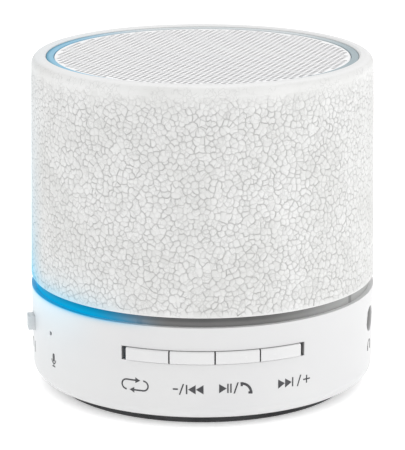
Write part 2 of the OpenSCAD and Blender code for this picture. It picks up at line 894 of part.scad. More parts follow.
// One key: a curved cap in the window and a flange behind the wall
module key(angle) {
    face_r = body_r + key_proud;
    half = key_face_h / 2;
    color("white") rotate([0, 0, angle - 90 - key_width / 2]) rotate_extrude(angle = key_width)
        translate([0, key_z]) union() {
            square_at([key_back_r, -half - key_flange_lap], [key_flange_r, half + key_flange_lap]);
            square_at([key_back_r, -half], [face_r - key_round, half]);
            square_at([key_back_r, -half + key_round], [face_r, half - key_round]);
            for (z = [-half + key_round, half - key_round]) {
                translate([face_r - key_round, z]) circle(r = key_round, $fn = 32);
            }
        }
}

module mode_key() {
    key(key_angles[0]);
}

module previous_key() {
    key(key_angles[1]);
}

module play_key() {
    key(key_angles[2]);
}

module next_key() {
    key(key_angles[3]);
}

module mode_plunger() {
    plunger(key_angles[0]);
}

module previous_plunger() {
    plunger(key_angles[1]);
}

module play_plunger() {
    plunger(key_angles[2]);
}

module next_plunger() {
    plunger(key_angles[3]);
}

upper_sleeve();
light_guide();
grille();
grille_cloth();
chamber();
driver_basket();
driver_magnet();
driver_top_plate();
driver_yoke();
driver_gasket();
driver_terminals();
driver_screws();
voice_coil();
spider();
cone();
dust_cap();
surround();
base_shell();
rubber_foot();
case_screws();
main_board();
board_screws();
bluetooth_chip();
amplifier_chip();
crystal();
capacitors();
led_board();
leds();
battery();
battery_pad();
speaker_leads();
battery_leads();
led_leads();
aux_jack();
usb_socket();
card_socket();
microphone();
microphone_boot();
slide_switch();
switch_lever();
switch_knob();
tact_switches();
mode_key();
previous_key();
play_key();
next_key();
mode_plunger();
previous_plunger();
play_plunger();
next_plunger();
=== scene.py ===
"""Looks of a small cylindrical speaker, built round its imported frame."""

import logging
import math
import random
from dataclasses import dataclass, field
from enum import Enum
from typing import Callable, Iterable, Optional, Sequence

import bmesh
import bpy
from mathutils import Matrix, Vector
from mathutils.geometry import delaunay_2d_cdt


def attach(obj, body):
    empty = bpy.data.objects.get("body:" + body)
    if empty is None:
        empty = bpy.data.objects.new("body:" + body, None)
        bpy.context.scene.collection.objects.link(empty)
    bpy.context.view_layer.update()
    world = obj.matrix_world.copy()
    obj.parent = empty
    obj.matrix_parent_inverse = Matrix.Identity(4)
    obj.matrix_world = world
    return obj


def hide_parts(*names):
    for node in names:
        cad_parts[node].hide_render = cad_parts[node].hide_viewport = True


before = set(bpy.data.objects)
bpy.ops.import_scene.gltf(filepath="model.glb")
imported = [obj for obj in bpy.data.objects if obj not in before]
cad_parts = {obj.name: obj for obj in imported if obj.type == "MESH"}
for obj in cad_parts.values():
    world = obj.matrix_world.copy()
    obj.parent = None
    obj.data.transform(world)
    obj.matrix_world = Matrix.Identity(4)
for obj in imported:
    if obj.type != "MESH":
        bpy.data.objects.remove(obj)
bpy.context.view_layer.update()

LOG = logging.getLogger("speaker")
MM = 0.001

Colour = tuple[float, float, float]
Flat = tuple[float, float]
Triple = tuple[float, float, float]
Node = bpy.types.Node
Socket = bpy.types.NodeSocket
Piece = bpy.types.Object

# Levels over the table where the light shows, and spreads of its fall-off, in metres.
BASE_TOP, RING, SEAM, RIM = 0.0177, 0.0185, 0.0194, 0.0576
EVEN = 10.0
BLACK: Colour = (0.0, 0.0, 0.0)


def lerp(low: float, high: float, share: float) -> float:
    """Value that lies a share of the way from low to high."""
    return low + (high - low) * share


def fade(low: float, high: float, value: float) -> float:
    """Smooth step from 0 at low to 1 at high."""
    share = min(1.0, max(0.0, (value - low) / (high - low)))
    return share * share * (3.0 - 2.0 * share)


def spot(radius: float, angle: float, height: float) -> Vector:
    """Point on the body, in metres.

    Args:
        radius: Distance from the body's axis, in mm.
        angle: Degrees from the front, positive to the right.
        height: Height over the table, in mm.

    Returns:
        The point in the row frame.
    """
    turn = math.radians(angle)
    return Vector((radius * math.sin(turn), -radius * math.cos(turn), height)) * MM


# ---------------------------------------------------------------- node groups


class Sheet:
    """A node tree with short ways to add nodes and join them."""

    def __init__(self, tree: bpy.types.NodeTree) -> None:
        """Starts on an empty tree."""
        self.tree = tree
        tree.nodes.clear()

    def add(self, kind: str, **settings: object) -> Node:
        """Adds a node.

        Args:
            kind: Node type without its ShaderNode prefix.
            settings: Attributes to set on it.

        Returns:
            The new node.
        """
        node = self.tree.nodes.new(kind if kind.startswith("Node") else "ShaderNode" + kind)
        for name, value in settings.items():
            setattr(node, name, value)
        return node

    def feed(self, node: Node, **inputs: object) -> Node:
        """Sets or links a node's inputs.

        Args:
            node: Node to feed.
            inputs: Socket names, with _ for a space, to values or output sockets; in0, in1 are places.

        Returns:
            The same node.
        """
        for name, value in inputs.items():
            key = int(name[2:]) if name[:2] == "in" and name[2:].isdigit() else name.replace("_", " ")
            socket = node.inputs[key]
            if isinstance(value, Socket):
                self.tree.links.new(value, socket)
            elif isinstance(value, tuple) and len(value) == 3 and socket.type == "RGBA":
                socket.default_value = (*value, 1.0)
            else:
                socket.default_value = value
        return node

    def calc(self, operation: str, first: object, second: object = 0.0, third: object = 0.0) -> Socket:
        """Output of a Math node.

        Args:
            operation: The node's operation.
            first: First value or socket.
            second: Second value or socket.
            third: Third value or socket.

        Returns:
            The node's output.
        """
        node = self.add("Math", operation=operation)
        return self.feed(node, in0=first, in1=second, in2=third).outputs[0]

    def times(self, first: object, second: object) -> Socket:
        """Product of two values or sockets."""
        return self.calc("MULTIPLY", first, second)

    def parts(self, vector: Socket) -> tuple[Socket, ...]:
        """The three parts of a vector."""
        return tuple(self.feed(self.add("SeparateXYZ"), Vector=vector).outputs)

    def reach(self, x: Socket, y: Socket) -> Socket:
        """Distance from the body's axis, from its two parts."""
        return self.calc("SQRT", self.calc("ADD", self.calc("POWER", x, 2.0), self.calc("POWER", y, 2.0)))

    def noise(self, place: Socket, scale: object, detail: float = 2.0, rough: float = 0.5) -> Socket:
        """Value of a noise texture."""
        node = self.add("TexNoise")
        return self.feed(node, Vector=place, Scale=scale, Detail=detail, Roughness=rough).outputs[0]

    def step(self, value: object, low: object, high: object, out_low: object = 0.0,
             out_high: object = 1.0) -> Socket:
        """Output of a smooth Map Range node.

        Args:
            value: Value to map.
            low: Value that gives out_low.
            high: Value that gives out_high.
            out_low: Result at low.
            out_high: Result at high.

        Returns:
            The mapped value.
        """
        node = self.add("MapRange", interpolation_type="SMOOTHSTEP")
        return self.feed(node, in0=value, in1=low, in2=high, in3=out_low, in4=out_high).outputs[0]

    def mix(self, share: object, first: object, second: object, blend: str = "MIX") -> Socket:
        """Colour output of a Mix node.

        Args:
            share: How much of second is taken.
            first: First colour.
            second: Second colour.
            blend: The node's blend type.

        Returns:
            The mixed colour.
        """
        node = self.add("Mix", data_type="RGBA", blend_type=blend)
        return self.feed(node, in0=share, in6=first, in7=second).outputs[2]

    def place(self) -> Socket:
        """Coordinates on the piece, in metres, in the row frame at rest."""
        return self.add("TexCoord").outputs["Object"]


class Effect:
    """A node group with named sockets, built once and used by several finishes."""

    name = "effect"
    inputs: Sequence[tuple[str, str, object]] = ()
    outputs: Sequence[tuple[str, str]] = ()

    def fill(self, sheet: Sheet, given: Node, result: Node) -> None:
        """Builds the nodes between the group's inputs and outputs."""
        raise NotImplementedError

    def tree(self) -> bpy.types.NodeTree:
        """The group's tree, made on first use.

        Returns:
            The group's tree.
        """
        made = bpy.data.node_groups.get(self.name)
        if made:
            return made
        made = bpy.data.node_groups.new(self.name, "ShaderNodeTree")
        for name, kind, value in self.inputs:
            socket = made.interface.new_socket(name, in_out="INPUT", socket_type=kind)
            if value is not None:
                socket.default_value = value
        for name, kind in self.outputs:
            made.interface.new_socket(name, in_out="OUTPUT", socket_type=kind)
        sheet = Sheet(made)
        self.fill(sheet, sheet.add("NodeGroupInput"), sheet.add("NodeGroupOutput"))
        return made

    def use(self, sheet: Sheet, **inputs: object) -> Node:
        """Places the group in a material.

        Args:
            sheet: The material's tree.
            inputs: The group's inputs, as Sheet.feed takes them.

        Returns:
            The group node.
        """
        node = sheet.add("Group")
        node.node_tree = self.tree()
        return sheet.feed(node, **inputs)

    def mask(self, sheet: Sheet, **inputs: object) -> Socket:
        """First output of the group, placed as use() places it."""
        return self.use(sheet, **inputs).outputs[0]


FLOAT, VECTOR = "NodeSocketFloat", "NodeSocketVector"


class Grain(Effect):
    """Moulded or cast surface: slow clouds and a fine grain."""

    name = "grain"
    inputs = (("Place", VECTOR, None), ("Cloud Scale", FLOAT, 120.0), ("Grain Scale", FLOAT, 4000.0))
    outputs = (("Cloud", FLOAT), ("Grain", FLOAT))

    def fill(self, sheet: Sheet, given: Node, result: Node) -> None:
        """Two noise textures at the given scales.

        Args:
            sheet: The group's tree.
            given: Its input node.
            result: Its output node.
        """
        place = given.outputs["Place"]
        cloud = sheet.noise(place, given.outputs["Cloud Scale"], 3.0)
        fine = sheet.noise(place, given.outputs["Grain Scale"])
        sheet.feed(result, Cloud=sheet.step(cloud, 0.3, 0.7), Grain=sheet.step(fine, 0.25, 0.75))


class Handling(Effect):
    """Faint rub marks and settled dust from use."""

    name = "handling"
    inputs = (("Place", VECTOR, None), ("Dust", FLOAT, 0.5))
    outputs = (("Rub", FLOAT), ("Dust", FLOAT))
    rub_scale, speck_scale, stretch = 260.0, 2600.0, (1.0, 1.0, 6.0)

    def fill(self, sheet: Sheet, given: Node, result: Node) -> None:
        """Stretched noise for rubs, and noise on upward faces for dust.

        Args:
            sheet: The group's tree.
            given: Its input node.
            result: Its output node.
        """
        place = given.outputs["Place"]
        long = sheet.feed(sheet.add("Mapping"), Vector=place, Scale=self.stretch).outputs[0]
        rub = sheet.noise(long, self.rub_scale, 5.0, 0.7)
        speck = sheet.noise(place, self.speck_scale)
        up = sheet.step(sheet.parts(sheet.add("NewGeometry").outputs["Normal"])[2], 0.2, 0.9)
        dust = sheet.times(sheet.step(speck, 0.56, 0.7), up)
        sheet.feed(result, Rub=sheet.step(rub, 0.52, 0.72), Dust=sheet.times(dust, given.outputs["Dust"]))


class Brushed(Effect):
    """Fine drawing lines left on sheet metal."""

    name = "brushed"
    inputs = (("Place", VECTOR, None), ("Stretch", VECTOR, (1.0, 1.0, 30.0)))
    outputs = (("Lines", FLOAT),)
    line_scale = 900.0

    def fill(self, sheet: Sheet, given: Node, result: Node) -> None:
        """Noise squeezed along one direction.

        Args:
            sheet: The group's tree.
            given: Its input node.
            result: Its output node.
        """
        drawn = sheet.feed(sheet.add("VectorMath", operation="MULTIPLY"), in0=given.outputs["Place"],
                           in1=given.outputs["Stretch"])
        sheet.feed(result, Lines=sheet.step(sheet.noise(drawn.outputs[0], self.line_scale, 4.0), 0.3, 0.7))


class Weave(Effect):
    """Plain weave of two sets of threads."""

    name = "weave"
    inputs = (("Place", VECTOR, None), ("Threads", FLOAT, 700.0))
    outputs = (("Height", FLOAT), ("Gap", FLOAT))

    def fill(self, sheet: Sheet, given: Node, result: Node) -> None:
        """Two sine waves across each other.

        Args:
            sheet: The group's tree.
            given: Its input node.
            result: Its output node.
        """
        waves = []
        for axis in ("X", "Y"):
            wave = sheet.add("TexWave", bands_direction=axis)
            sheet.feed(wave, Vector=given.outputs["Place"], Scale=given.outputs["Threads"], Distortion=0.6,
                       Detail=1.0)
            waves.append(wave.outputs[1])
        height = sheet.calc("MAXIMUM", *waves)
        sheet.feed(result, Height=height, Gap=sheet.step(height, 0.2, 0.55, 1.0, 0.0))


class SideGlow(Effect):
    """Light from the lamps on the body's left, strongest at one level."""

    name = "side glow"
    inputs = (("Place", VECTOR, None), ("Turn", FLOAT, -59.0), ("Edge", FLOAT, 0.2), ("Core", FLOAT, 0.8),
              ("Level", FLOAT, 0.0), ("Spread", FLOAT, 1.0))
    outputs = (("Glow", FLOAT),)

    def fill(self, sheet: Sheet, given: Node, result: Node) -> None:
        """Mask from the angle round the body, times a fall-off with height.

        Args:
            sheet: The group's tree.
            given: Its input node.
            result: Its output node.
        """
        x, y, z = sheet.parts(given.outputs["Place"])
        turn = sheet.calc("RADIANS", given.outputs["Turn"])
        side = sheet.times(x, sheet.calc("SINE", turn))
        front = sheet.times(y, sheet.calc("COSINE", turn))
        reach = sheet.calc("MAXIMUM", sheet.reach(x, y), 1e-5)
        facing = sheet.calc("DIVIDE", sheet.calc("SUBTRACT", side, front), reach)
        mask = sheet.step(facing, given.outputs["Edge"], given.outputs["Core"])
        away = sheet.calc("ABSOLUTE", sheet.calc("SUBTRACT", z, given.outputs["Level"]))
        fall = sheet.calc("EXPONENT", sheet.times(sheet.calc("DIVIDE", away, given.outputs["Spread"]), -1.0))
        sheet.feed(result, Glow=sheet.times(mask, fall))


class Recess(Effect):
    """Shade in the gaps and openings of the base's wall. Sizes in metres."""

    name = "recess"
    inputs = (("Place", VECTOR, None), ("Start", FLOAT, 0.00005), ("End", FLOAT, 0.0004),
              ("Floor", FLOAT, 0.0016))
    outputs = (("Shade", FLOAT),)
    foot_r, slope = 0.02981, 0.0109
    wall_low, wall_high = (0.0045, 0.005), (0.0168, 0.0172)

    def fill(self, sheet: Sheet, given: Node, result: Node) -> None:
        """Mask from the depth under the base's outer face, on the wall only.

        Args:
            sheet: The group's tree.
            given: Its input node.
            result: Its output node.
        """
        x, y, z = sheet.parts(given.outputs["Place"])
        outer = sheet.calc("MULTIPLY_ADD", z, self.slope, self.foot_r)
        depth = sheet.calc("SUBTRACT", outer, sheet.reach(x, y))
        mask = sheet.step(depth, given.outputs["Start"], given.outputs["End"])
        floor = given.outputs["Floor"]
        near = sheet.step(depth, floor, sheet.calc("ADD", floor, 0.0001), 1.0, 0.0)
        wall = sheet.times(sheet.step(z, *self.wall_low), sheet.step(z, *self.wall_high, 1.0, 0.0))
        sheet.feed(result, Shade=sheet.times(sheet.times(mask, near), wall))


GRAIN, HANDLING, BRUSHED, WEAVE = Grain(), Handling(), Brushed(), Weave()
SIDE_GLOW, RECESS = SideGlow(), Recess()

# -------------------------------------------------------------------- finishes


@dataclass(frozen=True)
class Beam:
    """A lit side of the body: its angle, the cosines where light starts and is full, its level and spread."""

    turn: float
    edge: float
    core: float
    level: float
    spread: float = EVEN

    def mask(self, sheet: Sheet, place: Socket) -> Socket:
        """How much of the light each point gets."""
        return SIDE_GLOW.mask(sheet, Place=place, Turn=self.turn, Edge=self.edge, Core=self.core,
                              Level=self.level, Spread=self.spread)


@dataclass
class Layers:
    """What a finish feeds to its shader."""

    colour: object
    height: object
    rough: object
    glow: Optional[object] = None


@dataclass(frozen=True)
class Finish:
    """A surface finish: clouds of a second tone, a fine grain and a range of gloss."""

    name: str
    slot: Optional[str]
    colour: Colour
    shade: Colour
    rough: tuple[float, float] = (0.3, 0.42)
    cloud_mm: float = 9.0
    grain_mm: float = 0.22
    depth_mm: float = 0.006
    metal: float = 0.0
    coat: float = 0.0
    coat_rough: float = 0.1
    specular: float = 0.5
    dust: float = 0.25
    dust_colour: Colour = (0.62, 0.6, 0.57)
    glow_colour: Colour = BLACK
    glow_strength: float = 0.0

    def layers(self, sheet: Sheet, place: Socket) -> Layers:
        """Colour, height and gloss over the surface.

        Args:
            sheet: The material's tree.
            place: Coordinates on the piece.

        Returns:
            The layers for the shader.
        """
        grain = GRAIN.use(sheet, Place=place, Cloud_Scale=1000.0 / self.cloud_mm,
                          Grain_Scale=1000.0 / self.grain_mm)
        marks = HANDLING.use(sheet, Place=place, Dust=self.dust)
        colour = sheet.mix(grain.outputs["Cloud"], self.colour, self.shade)
        colour = sheet.mix(sheet.times(marks.outputs["Dust"], 0.4), colour, self.dust_colour)
        wear = sheet.calc("MULTIPLY_ADD", grain.outputs["Cloud"], 0.5, sheet.times(marks.outputs["Rub"], 0.5))
        return Layers(colour, grain.outputs["Grain"], sheet.step(wear, 0.0, 1.0, *self.rough))

    def material(self) -> bpy.types.Material:
        """The finish as a material, made on first use.

        Returns:
            The material.
        """
        made = bpy.data.materials.get(self.name)
        if made:
            return made
        made = bpy.data.materials.new(self.name)
        made.use_nodes = True
        sheet = Sheet(made.node_tree)
        layers = self.layers(sheet, sheet.place())
        bump = sheet.feed(sheet.add("Bump"), Height=layers.height, Distance=self.depth_mm * MM, Strength=1.0)
        shader = sheet.add("BsdfPrincipled")
        sheet.feed(shader, Base_Color=layers.colour, Roughness=layers.rough, Normal=bump.outputs[0],
                   Metallic=self.metal, Coat_Weight=self.coat, Coat_Roughness=self.coat_rough,
                   Specular_IOR_Level=self.specular)
        if layers.glow is not None:
            sheet.feed(shader, Emission_Color=layers.glow, Emission_Strength=self.glow_strength)
        output = sheet.add("OutputMaterial")
        sheet.tree.links.new(shader.outputs[0], output.inputs[0])
        return made

    def dress(self, piece: Piece) -> Piece:
        """Puts the finish on a piece's every slot.

        Args:
            piece: A CAD node or a new piece.

        Returns:
            The same piece.
        """
        if not piece.data.materials:
            piece.data.materials.append(self.material())
        for place in range(len(piece.material_slots)):
            piece.material_slots[place].material = self.material()
        return piece


@dataclass(frozen=True)
class Crackle(Finish):
    """White cells with grey cracks between them, lit from below on the lamp side."""

    crack_colour: Colour = (0.42, 0.42, 0.415)
    lit_crack_colour: Colour = (0.06, 0.32, 0.45)
    lip_colour_with_highlight: Colour = (0.75, 0.75, 0.75)
    lit_colour: Colour = (0.21, 0.57, 0.76)
    hair_scale: float = 1250.0
    hair_width: float = 0.09
    hair_tone: float = 0.42
    hair_bend: float = 0.0006
    cell_tone: float = 0.2
    crack_rough: float = 0.3
    glow: Beam = Beam(-106.0, 0.78, 1.0, SEAM, 0.0125)
    veil: Beam = Beam(-82.0, 0.5, 1.0, SEAM, 0.0016)
    veil_share: float = 0.7

    def layers(self, sheet: Sheet, place: Socket) -> Layers:
        """Darkens the cracks, varies each cell's tone, and adds the lamp's glow.

        Args:
            sheet: The material's tree.
            place: Coordinates on the piece.

        Returns:
            The layers for the shader.
        """
        base = super().layers(sheet, place)
        crack, tone, reach = (sheet.add("Attribute", attribute_name=name).outputs["Fac"]
                              for name in ("crack", "tone", "reach"))
        colour = sheet.mix(sheet.times(tone, self.cell_tone), base.colour, self.shade, "MULTIPLY")
        # The bare lip top takes the lip colour: the smooth uncrackled lip, made lighter as a painted
        # highlight.
        colour = sheet.mix(sheet.step(reach, 0.0, 0.8), self.lip_colour_with_highlight, colour)
        light = self.lamplight(sheet, place)
        cracks = sheet.mix(light, self.crack_colour, self.lit_crack_colour)
        lines = sheet.calc("MAXIMUM", sheet.calc("POWER", crack, 1.1), self.hairs(sheet, place, reach))
        colour = sheet.mix(lines, sheet.mix(light, colour, self.lit_colour), cracks)
        rough = sheet.calc("MULTIPLY_ADD", crack, self.crack_rough, base.rough)
        return Layers(colour, base.height, rough, sheet.mix(light, BLACK, self.glow_colour))

    def hairs(self, sheet: Sheet, place: Socket, reach: Socket) -> Socket:
        """Mask of hairline cracks, in patches, where the crackle reaches.

        Args:
            sheet: The material's tree.
            place: Coordinates on the piece.
            reach: How much of the crackle's colour is kept.

        Returns:
            The mask.
        """
        warp = sheet.feed(sheet.add("TexNoise"), Vector=place, Scale=1400.0, Detail=2.0)
        shift = sheet.feed(sheet.add("VectorMath", operation="SCALE"), in0=warp.outputs["Color"],
                           Scale=self.hair_bend)
        bent = sheet.feed(sheet.add("VectorMath", operation="ADD"), in0=place, in1=shift.outputs[0])
        fine = sheet.feed(sheet.add("TexVoronoi", feature="DISTANCE_TO_EDGE"), Vector=bent.outputs[0],
                          Scale=self.hair_scale, Randomness=1.0)
        line = sheet.step(fine.outputs[0], 0.0, self.hair_width, self.hair_tone, 0.0)
        return sheet.times(sheet.times(line, sheet.step(sheet.noise(place, 520.0, 1.0), 0.38, 0.58)), reach)

    def lamplight(self, sheet: Sheet, place: Socket) -> Socket:
        """Mask of the lamp's light: a tall glow at the rear left and a thin veil over the seam.

        Args:
            sheet: The material's tree.
            place: Coordinates on the piece.

        Returns:
            The mask.
        """
        glow, veil = self.glow.mask(sheet, place), self.veil.mask(sheet, place)
        return sheet.calc("MINIMUM", sheet.calc("MULTIPLY_ADD", veil, self.veil_share, glow), 1.0)


@dataclass(frozen=True)
class Guide(Finish):
    """Clear acrylic ring over dark ribs, lit blue on the lamp side."""

    ribs: tuple[Beam, ...] = (Beam(-24.8, 0.99975, 0.99995, RING), Beam(55.1, 0.99975, 0.99995, RING))
    right: Beam = Beam(82.0, 0.35, 1.0, RING)
    lamp: Beam = Beam(-75.0, 0.45, 0.9, BASE_TOP)
    rear: Beam = Beam(180.0, 0.1, 0.85, RIM)
    left: Beam = Beam(-82.0, 0.1, 0.9, RIM)
    rib_colour: Colour = (0.12, 0.12, 0.12)
    low_colour: Colour = (0.3, 0.3, 0.295)
    right_lit_colour: Colour = (0.48, 0.485, 0.48)
    lit_colour: Colour = (0.001, 0.04, 0.07)
    channel_front: Colour = (0.36, 0.43, 0.46)
    channel_rear: Colour = (0.6, 0.64, 0.655)
    channel_lit: Colour = (0.25, 0.49, 0.65)
    channel_rim: Colour = (0.07, 0.27, 0.4)

    def layers(self, sheet: Sheet, place: Socket) -> Layers:
        """Painted shade of the dark depth seen through the acrylic, with the lamp's light on the left.

        Args:
            sheet: The material's tree.
            place: Coordinates on the piece.

        Returns:
            The layers for the shader.
        """
        base = super().layers(sheet, place)
        x, y, z = sheet.parts(place)
        upper = sheet.step(z, 0.05, 0.056)
        lit = sheet.times(self.lamp.mask(sheet, place), sheet.calc("SUBTRACT", 1.0, upper))
        share = sheet.step(lit, 0.25, 1.0)
        colour = sheet.mix(share, self.band(sheet, place, z, base.colour), self.lit_colour)
        colour = sheet.mix(upper, colour, self.channel(sheet, place, sheet.reach(x, y)))
        # Painted shade: the glow is weaker on the band's upper half, under the sleeve's overhang.
        shine = sheet.times(sheet.calc("POWER", lit, 1.5), sheet.step(z, 0.0176, 0.0198, 1.0, 0.4))
        return Layers(colour, base.height, base.rough, sheet.mix(shine, BLACK, self.glow_colour))

    def band(self, sheet: Sheet, place: Socket, height: Socket, colour: Socket) -> Socket:
        """Colour of the unlit band under the sleeve: painted shade on its upper half under the sleeve's
        overhang, so it is paler at its foot; paler on the right as painted light; with its ribs.

        Args:
            sheet: The material's tree.
            place: Coordinates on the piece.
            height: Height over the table.
            colour: Colour of the acrylic.

        Returns:
            The colour.
        """
        # Painted shade: the band's upper half stays darker under the sleeve's overhang, and its foot is
        # paler.
        low = sheet.step(height, 0.0182, 0.0188, 1.0, 0.0)
        colour = sheet.mix(sheet.times(low, 0.4), colour, self.low_colour)
        # Painted light: the band is paler on the right, the lit side.
        colour = sheet.mix(sheet.times(self.right.mask(sheet, place), 0.7), colour, self.right_lit_colour)
        ribs: object = 0.0
        for rib in self.ribs:
            ribs = sheet.calc("MAXIMUM", rib.mask(sheet, place), ribs)
        return sheet.mix(sheet.times(ribs, 0.5), colour, self.rib_colour)

    def channel(self, sheet: Sheet, place: Socket, reach: Socket) -> Socket:
        """Colour of the ring round the grille: pale at the rear, blue on the left, darker at its rim.

        Args:
            sheet: The material's tree.
            place: Coordinates on the piece.
            reach: Distance from the body's axis.

        Returns:
            The colour.
        """
        rear, left = self.rear.mask(sheet, place), self.left.mask(sheet, place)
        colour = sheet.mix(left, sheet.mix(rear, self.channel_front, self.channel_rear), self.channel_lit)
        return sheet.mix(sheet.times(sheet.step(reach, 0.0261, 0.0269), left), colour, self.channel_rim)


@dataclass(frozen=True)
class LitWhite(Finish):
    """Glossy white moulding that catches the ring's light along its upper edge."""

    veil_colour: Colour = (0.6, 0.76, 0.84)
    ledge_colour: Colour = (0.02, 0.4, 0.66)
    recess_shade_colour: Colour = (0.36, 0.36, 0.36)
    veil: Beam = Beam(-88.0, 0.6, 1.0, BASE_TOP, 0.0035)
    ledge: Beam = Beam(-75.0, 0.5, 0.9, BASE_TOP, 0.0003)

    def layers(self, sheet: Sheet, place: Socket) -> Layers:
        """The plain moulding with a faint blue veil under the ring and painted shade in the openings of its
        wall.

        Args:
            sheet: The material's tree.
            place: Coordinates on the piece.

        Returns:
            The layers for the shader.
        """
        base = super().layers(sheet, place)
        veil, ledge = self.veil.mask(sheet, place), self.ledge.mask(sheet, place)
        colour = sheet.mix(ledge, sheet.mix(veil, base.colour, self.veil_colour), self.ledge_colour)
        # Painted shade: darker inside the base's gaps, key slot and openings.
        shade = RECESS.mask(sheet, Place=place, Start=0.00005, End=0.0004)
        colour = sheet.mix(shade, colour, self.recess_shade_colour)
        return Layers(colour, base.height, base.rough, sheet.mix(veil, BLACK, self.glow_colour))


@dataclass(frozen=True)
class KeyWhite(Finish):
    """White key with shaded sides."""

    side_colour: Colour = (0.1, 0.1, 0.1)

    def layers(self, sheet: Sheet, place: Socket) -> Layers:
        """The plain moulding, darker where it goes into the base.

        Args:
            sheet: The material's tree.
            place: Coordinates on the piece.

        Returns:
            The layers for the shader.
        """
        base = super().layers(sheet, place)
        shade = RECESS.mask(sheet, Place=place, Start=-0.0003, End=0.00005)
        upright = sheet.calc("ABSOLUTE", sheet.parts(sheet.add("NewGeometry").outputs["Normal"])[2])
        side = sheet.step(upright, 0.1, 0.6, 1.0, 0.2)
        colour = sheet.mix(sheet.times(shade, side), base.colour, self.side_colour)
        return Layers(colour, base.height, base.rough)


@dataclass(frozen=True)
class PunchedSheet(Finish):
    """Painted sheet with shaded hole walls. Sizes in mm."""

    top: float = 57.5
    edge_r: float = 25.2
    shadow: Colour = (0.55, 0.55, 0.555)

    def layers(self, sheet: Sheet, place: Socket) -> Layers:
        """The plain paint, darker under the top face, but not on the cup's outer wall.

        Args:
            sheet: The material's tree.
            place: Coordinates on the piece.

        Returns:
            The layers for the shader.
        """
        base = super().layers(sheet, place)
        x, y, z = sheet.parts(place)
        deep = sheet.step(z, (self.top - 0.18) * MM, (self.top - 0.04) * MM, 1.0, 0.0)
        inside = sheet.step(sheet.reach(x, y), (self.edge_r - 0.1) * MM, self.edge_r * MM, 1.0, 0.0)
        return Layers(sheet.mix(sheet.times(deep, inside), base.colour, self.shadow), base.height, base.rough)


@dataclass(frozen=True)
class DrawnMetal(Finish):
    """Plated or drawn metal with fine lines."""

    stretch: Triple = (1.0, 1.0, 30.0)

    def layers(self, sheet: Sheet, place: Socket) -> Layers:
        """Lines in the height and the gloss.

        Args:
            sheet: The material's tree.
            place: Coordinates on the piece.

        Returns:
            The layers for the shader.
        """
        base = super().layers(sheet, place)
        lines = BRUSHED.mask(sheet, Place=place, Stretch=self.stretch)
        return Layers(base.colour, lines, sheet.calc("MULTIPLY_ADD", lines, 0.12, base.rough))


@dataclass(frozen=True)
class Cloth(Finish):
    """Woven cloth with gaps between its threads."""

    thread_mm: float = 0.5
    gap_colour: Colour = (0.05, 0.05, 0.05)

    def layers(self, sheet: Sheet, place: Socket) -> Layers:
        """Threads in the height and dark gaps in the colour.

        Args:
            sheet: The material's tree.
            place: Coordinates on the piece.

        Returns:
            The layers for the shader.
        """
        base = super().layers(sheet, place)
        weave = WEAVE.use(sheet, Place=place, Threads=1000.0 / self.thread_mm / math.tau * 2.0)
        return Layers(sheet.mix(weave.outputs["Gap"], base.colour, self.gap_colour), weave.outputs["Height"],
                      base.rough)


@dataclass(frozen=True)
class CircuitBoard(Finish):
    """Solder mask over copper tracks, with tinned spots."""

    track_colour: Colour = (0.06, 0.33, 0.17)
    pad_colour: Colour = (0.7, 0.7, 0.68)

    def layers(self, sheet: Sheet, place: Socket) -> Layers:
        """Tracks along a brick pattern's joints, and pads at scattered cells.

        Args:
            sheet: The material's tree.
            place: Coordinates on the piece.

        Returns:
            The layers for the shader.
        """
        base = super().layers(sheet, place)
        brick = sheet.feed(sheet.add("TexBrick", offset=0.37), Vector=place, Scale=180.0, Mortar_Size=0.03)
        cells = sheet.feed(sheet.add("TexVoronoi"), Vector=place, Scale=420.0, Randomness=0.8)
        pads = sheet.step(cells.outputs["Distance"], 0.16, 0.2, 1.0, 0.0)
        colour = sheet.mix(brick.outputs["Fac"], base.colour, self.track_colour)
        colour = sheet.mix(pads, colour, self.pad_colour)
        return Layers(colour, sheet.calc("MAXIMUM", brick.outputs["Fac"], pads), base.rough)


@dataclass(frozen=True)
class Winding(Finish):
    """Fine wire wound in close turns."""

    def layers(self, sheet: Sheet, place: Socket) -> Layers:
        """One ridge for each turn of wire.

        Args:
            sheet: The material's tree.
            place: Coordinates on the piece.

        Returns:
            The layers for the shader.
        """
        base = super().layers(sheet, place)
        turns = sheet.feed(sheet.add("TexWave", bands_direction="Z"), Vector=place, Scale=1300.0)
        colour = sheet.mix(turns.outputs[1], self.shade, base.colour)
        return Layers(colour, turns.outputs[1], base.rough)


@dataclass(frozen=True)
class Ground(Finish):
    """Pale studio floor with a trace of its own light, which keeps the shadow thin."""

    def layers(self, sheet: Sheet, place: Socket) -> Layers:
        """Plain pale paper with the least mottling."""
        base = super().layers(sheet, place)
        return Layers(base.colour, base.height, base.rough, base.colour)


@dataclass(frozen=True)
class Lamp(Finish):
    """Lamp package that shines blue."""

    def layers(self, sheet: Sheet, place: Socket) -> Layers:
        """Blue over the whole package, stronger in the clouds."""
        base = super().layers(sheet, place)
        return Layers(base.colour, base.height, base.rough, sheet.mix(0.5, base.colour, self.glow_colour))


BLUE = (0.0, 0.36, 0.68)
CRACKLE = Crackle("crackle white", "crackle_white", (0.71, 0.71, 0.705), (0.66, 0.66, 0.65), (0.42, 0.55),
                  grain_mm=0.35, depth_mm=0.014, dust=0.1, glow_colour=(0.1, 0.42, 0.6), glow_strength=0.16)
GLOSS = LitWhite("gloss white", "gloss_white", (0.66, 0.66, 0.66), (0.64, 0.64, 0.645), (0.345, 0.355),
                 cloud_mm=18.0, grain_mm=0.6, depth_mm=0.0004, dust=0.0, specular=0.35,
                 glow_colour=(0.05, 0.3, 0.5), glow_strength=0.12)
KEY = KeyWhite("key white", "key_white", (0.68, 0.68, 0.68), (0.66, 0.66, 0.665), (0.2, 0.3), cloud_mm=6.0,
               grain_mm=0.5, depth_mm=0.0015, coat=0.1, dust=0.1)
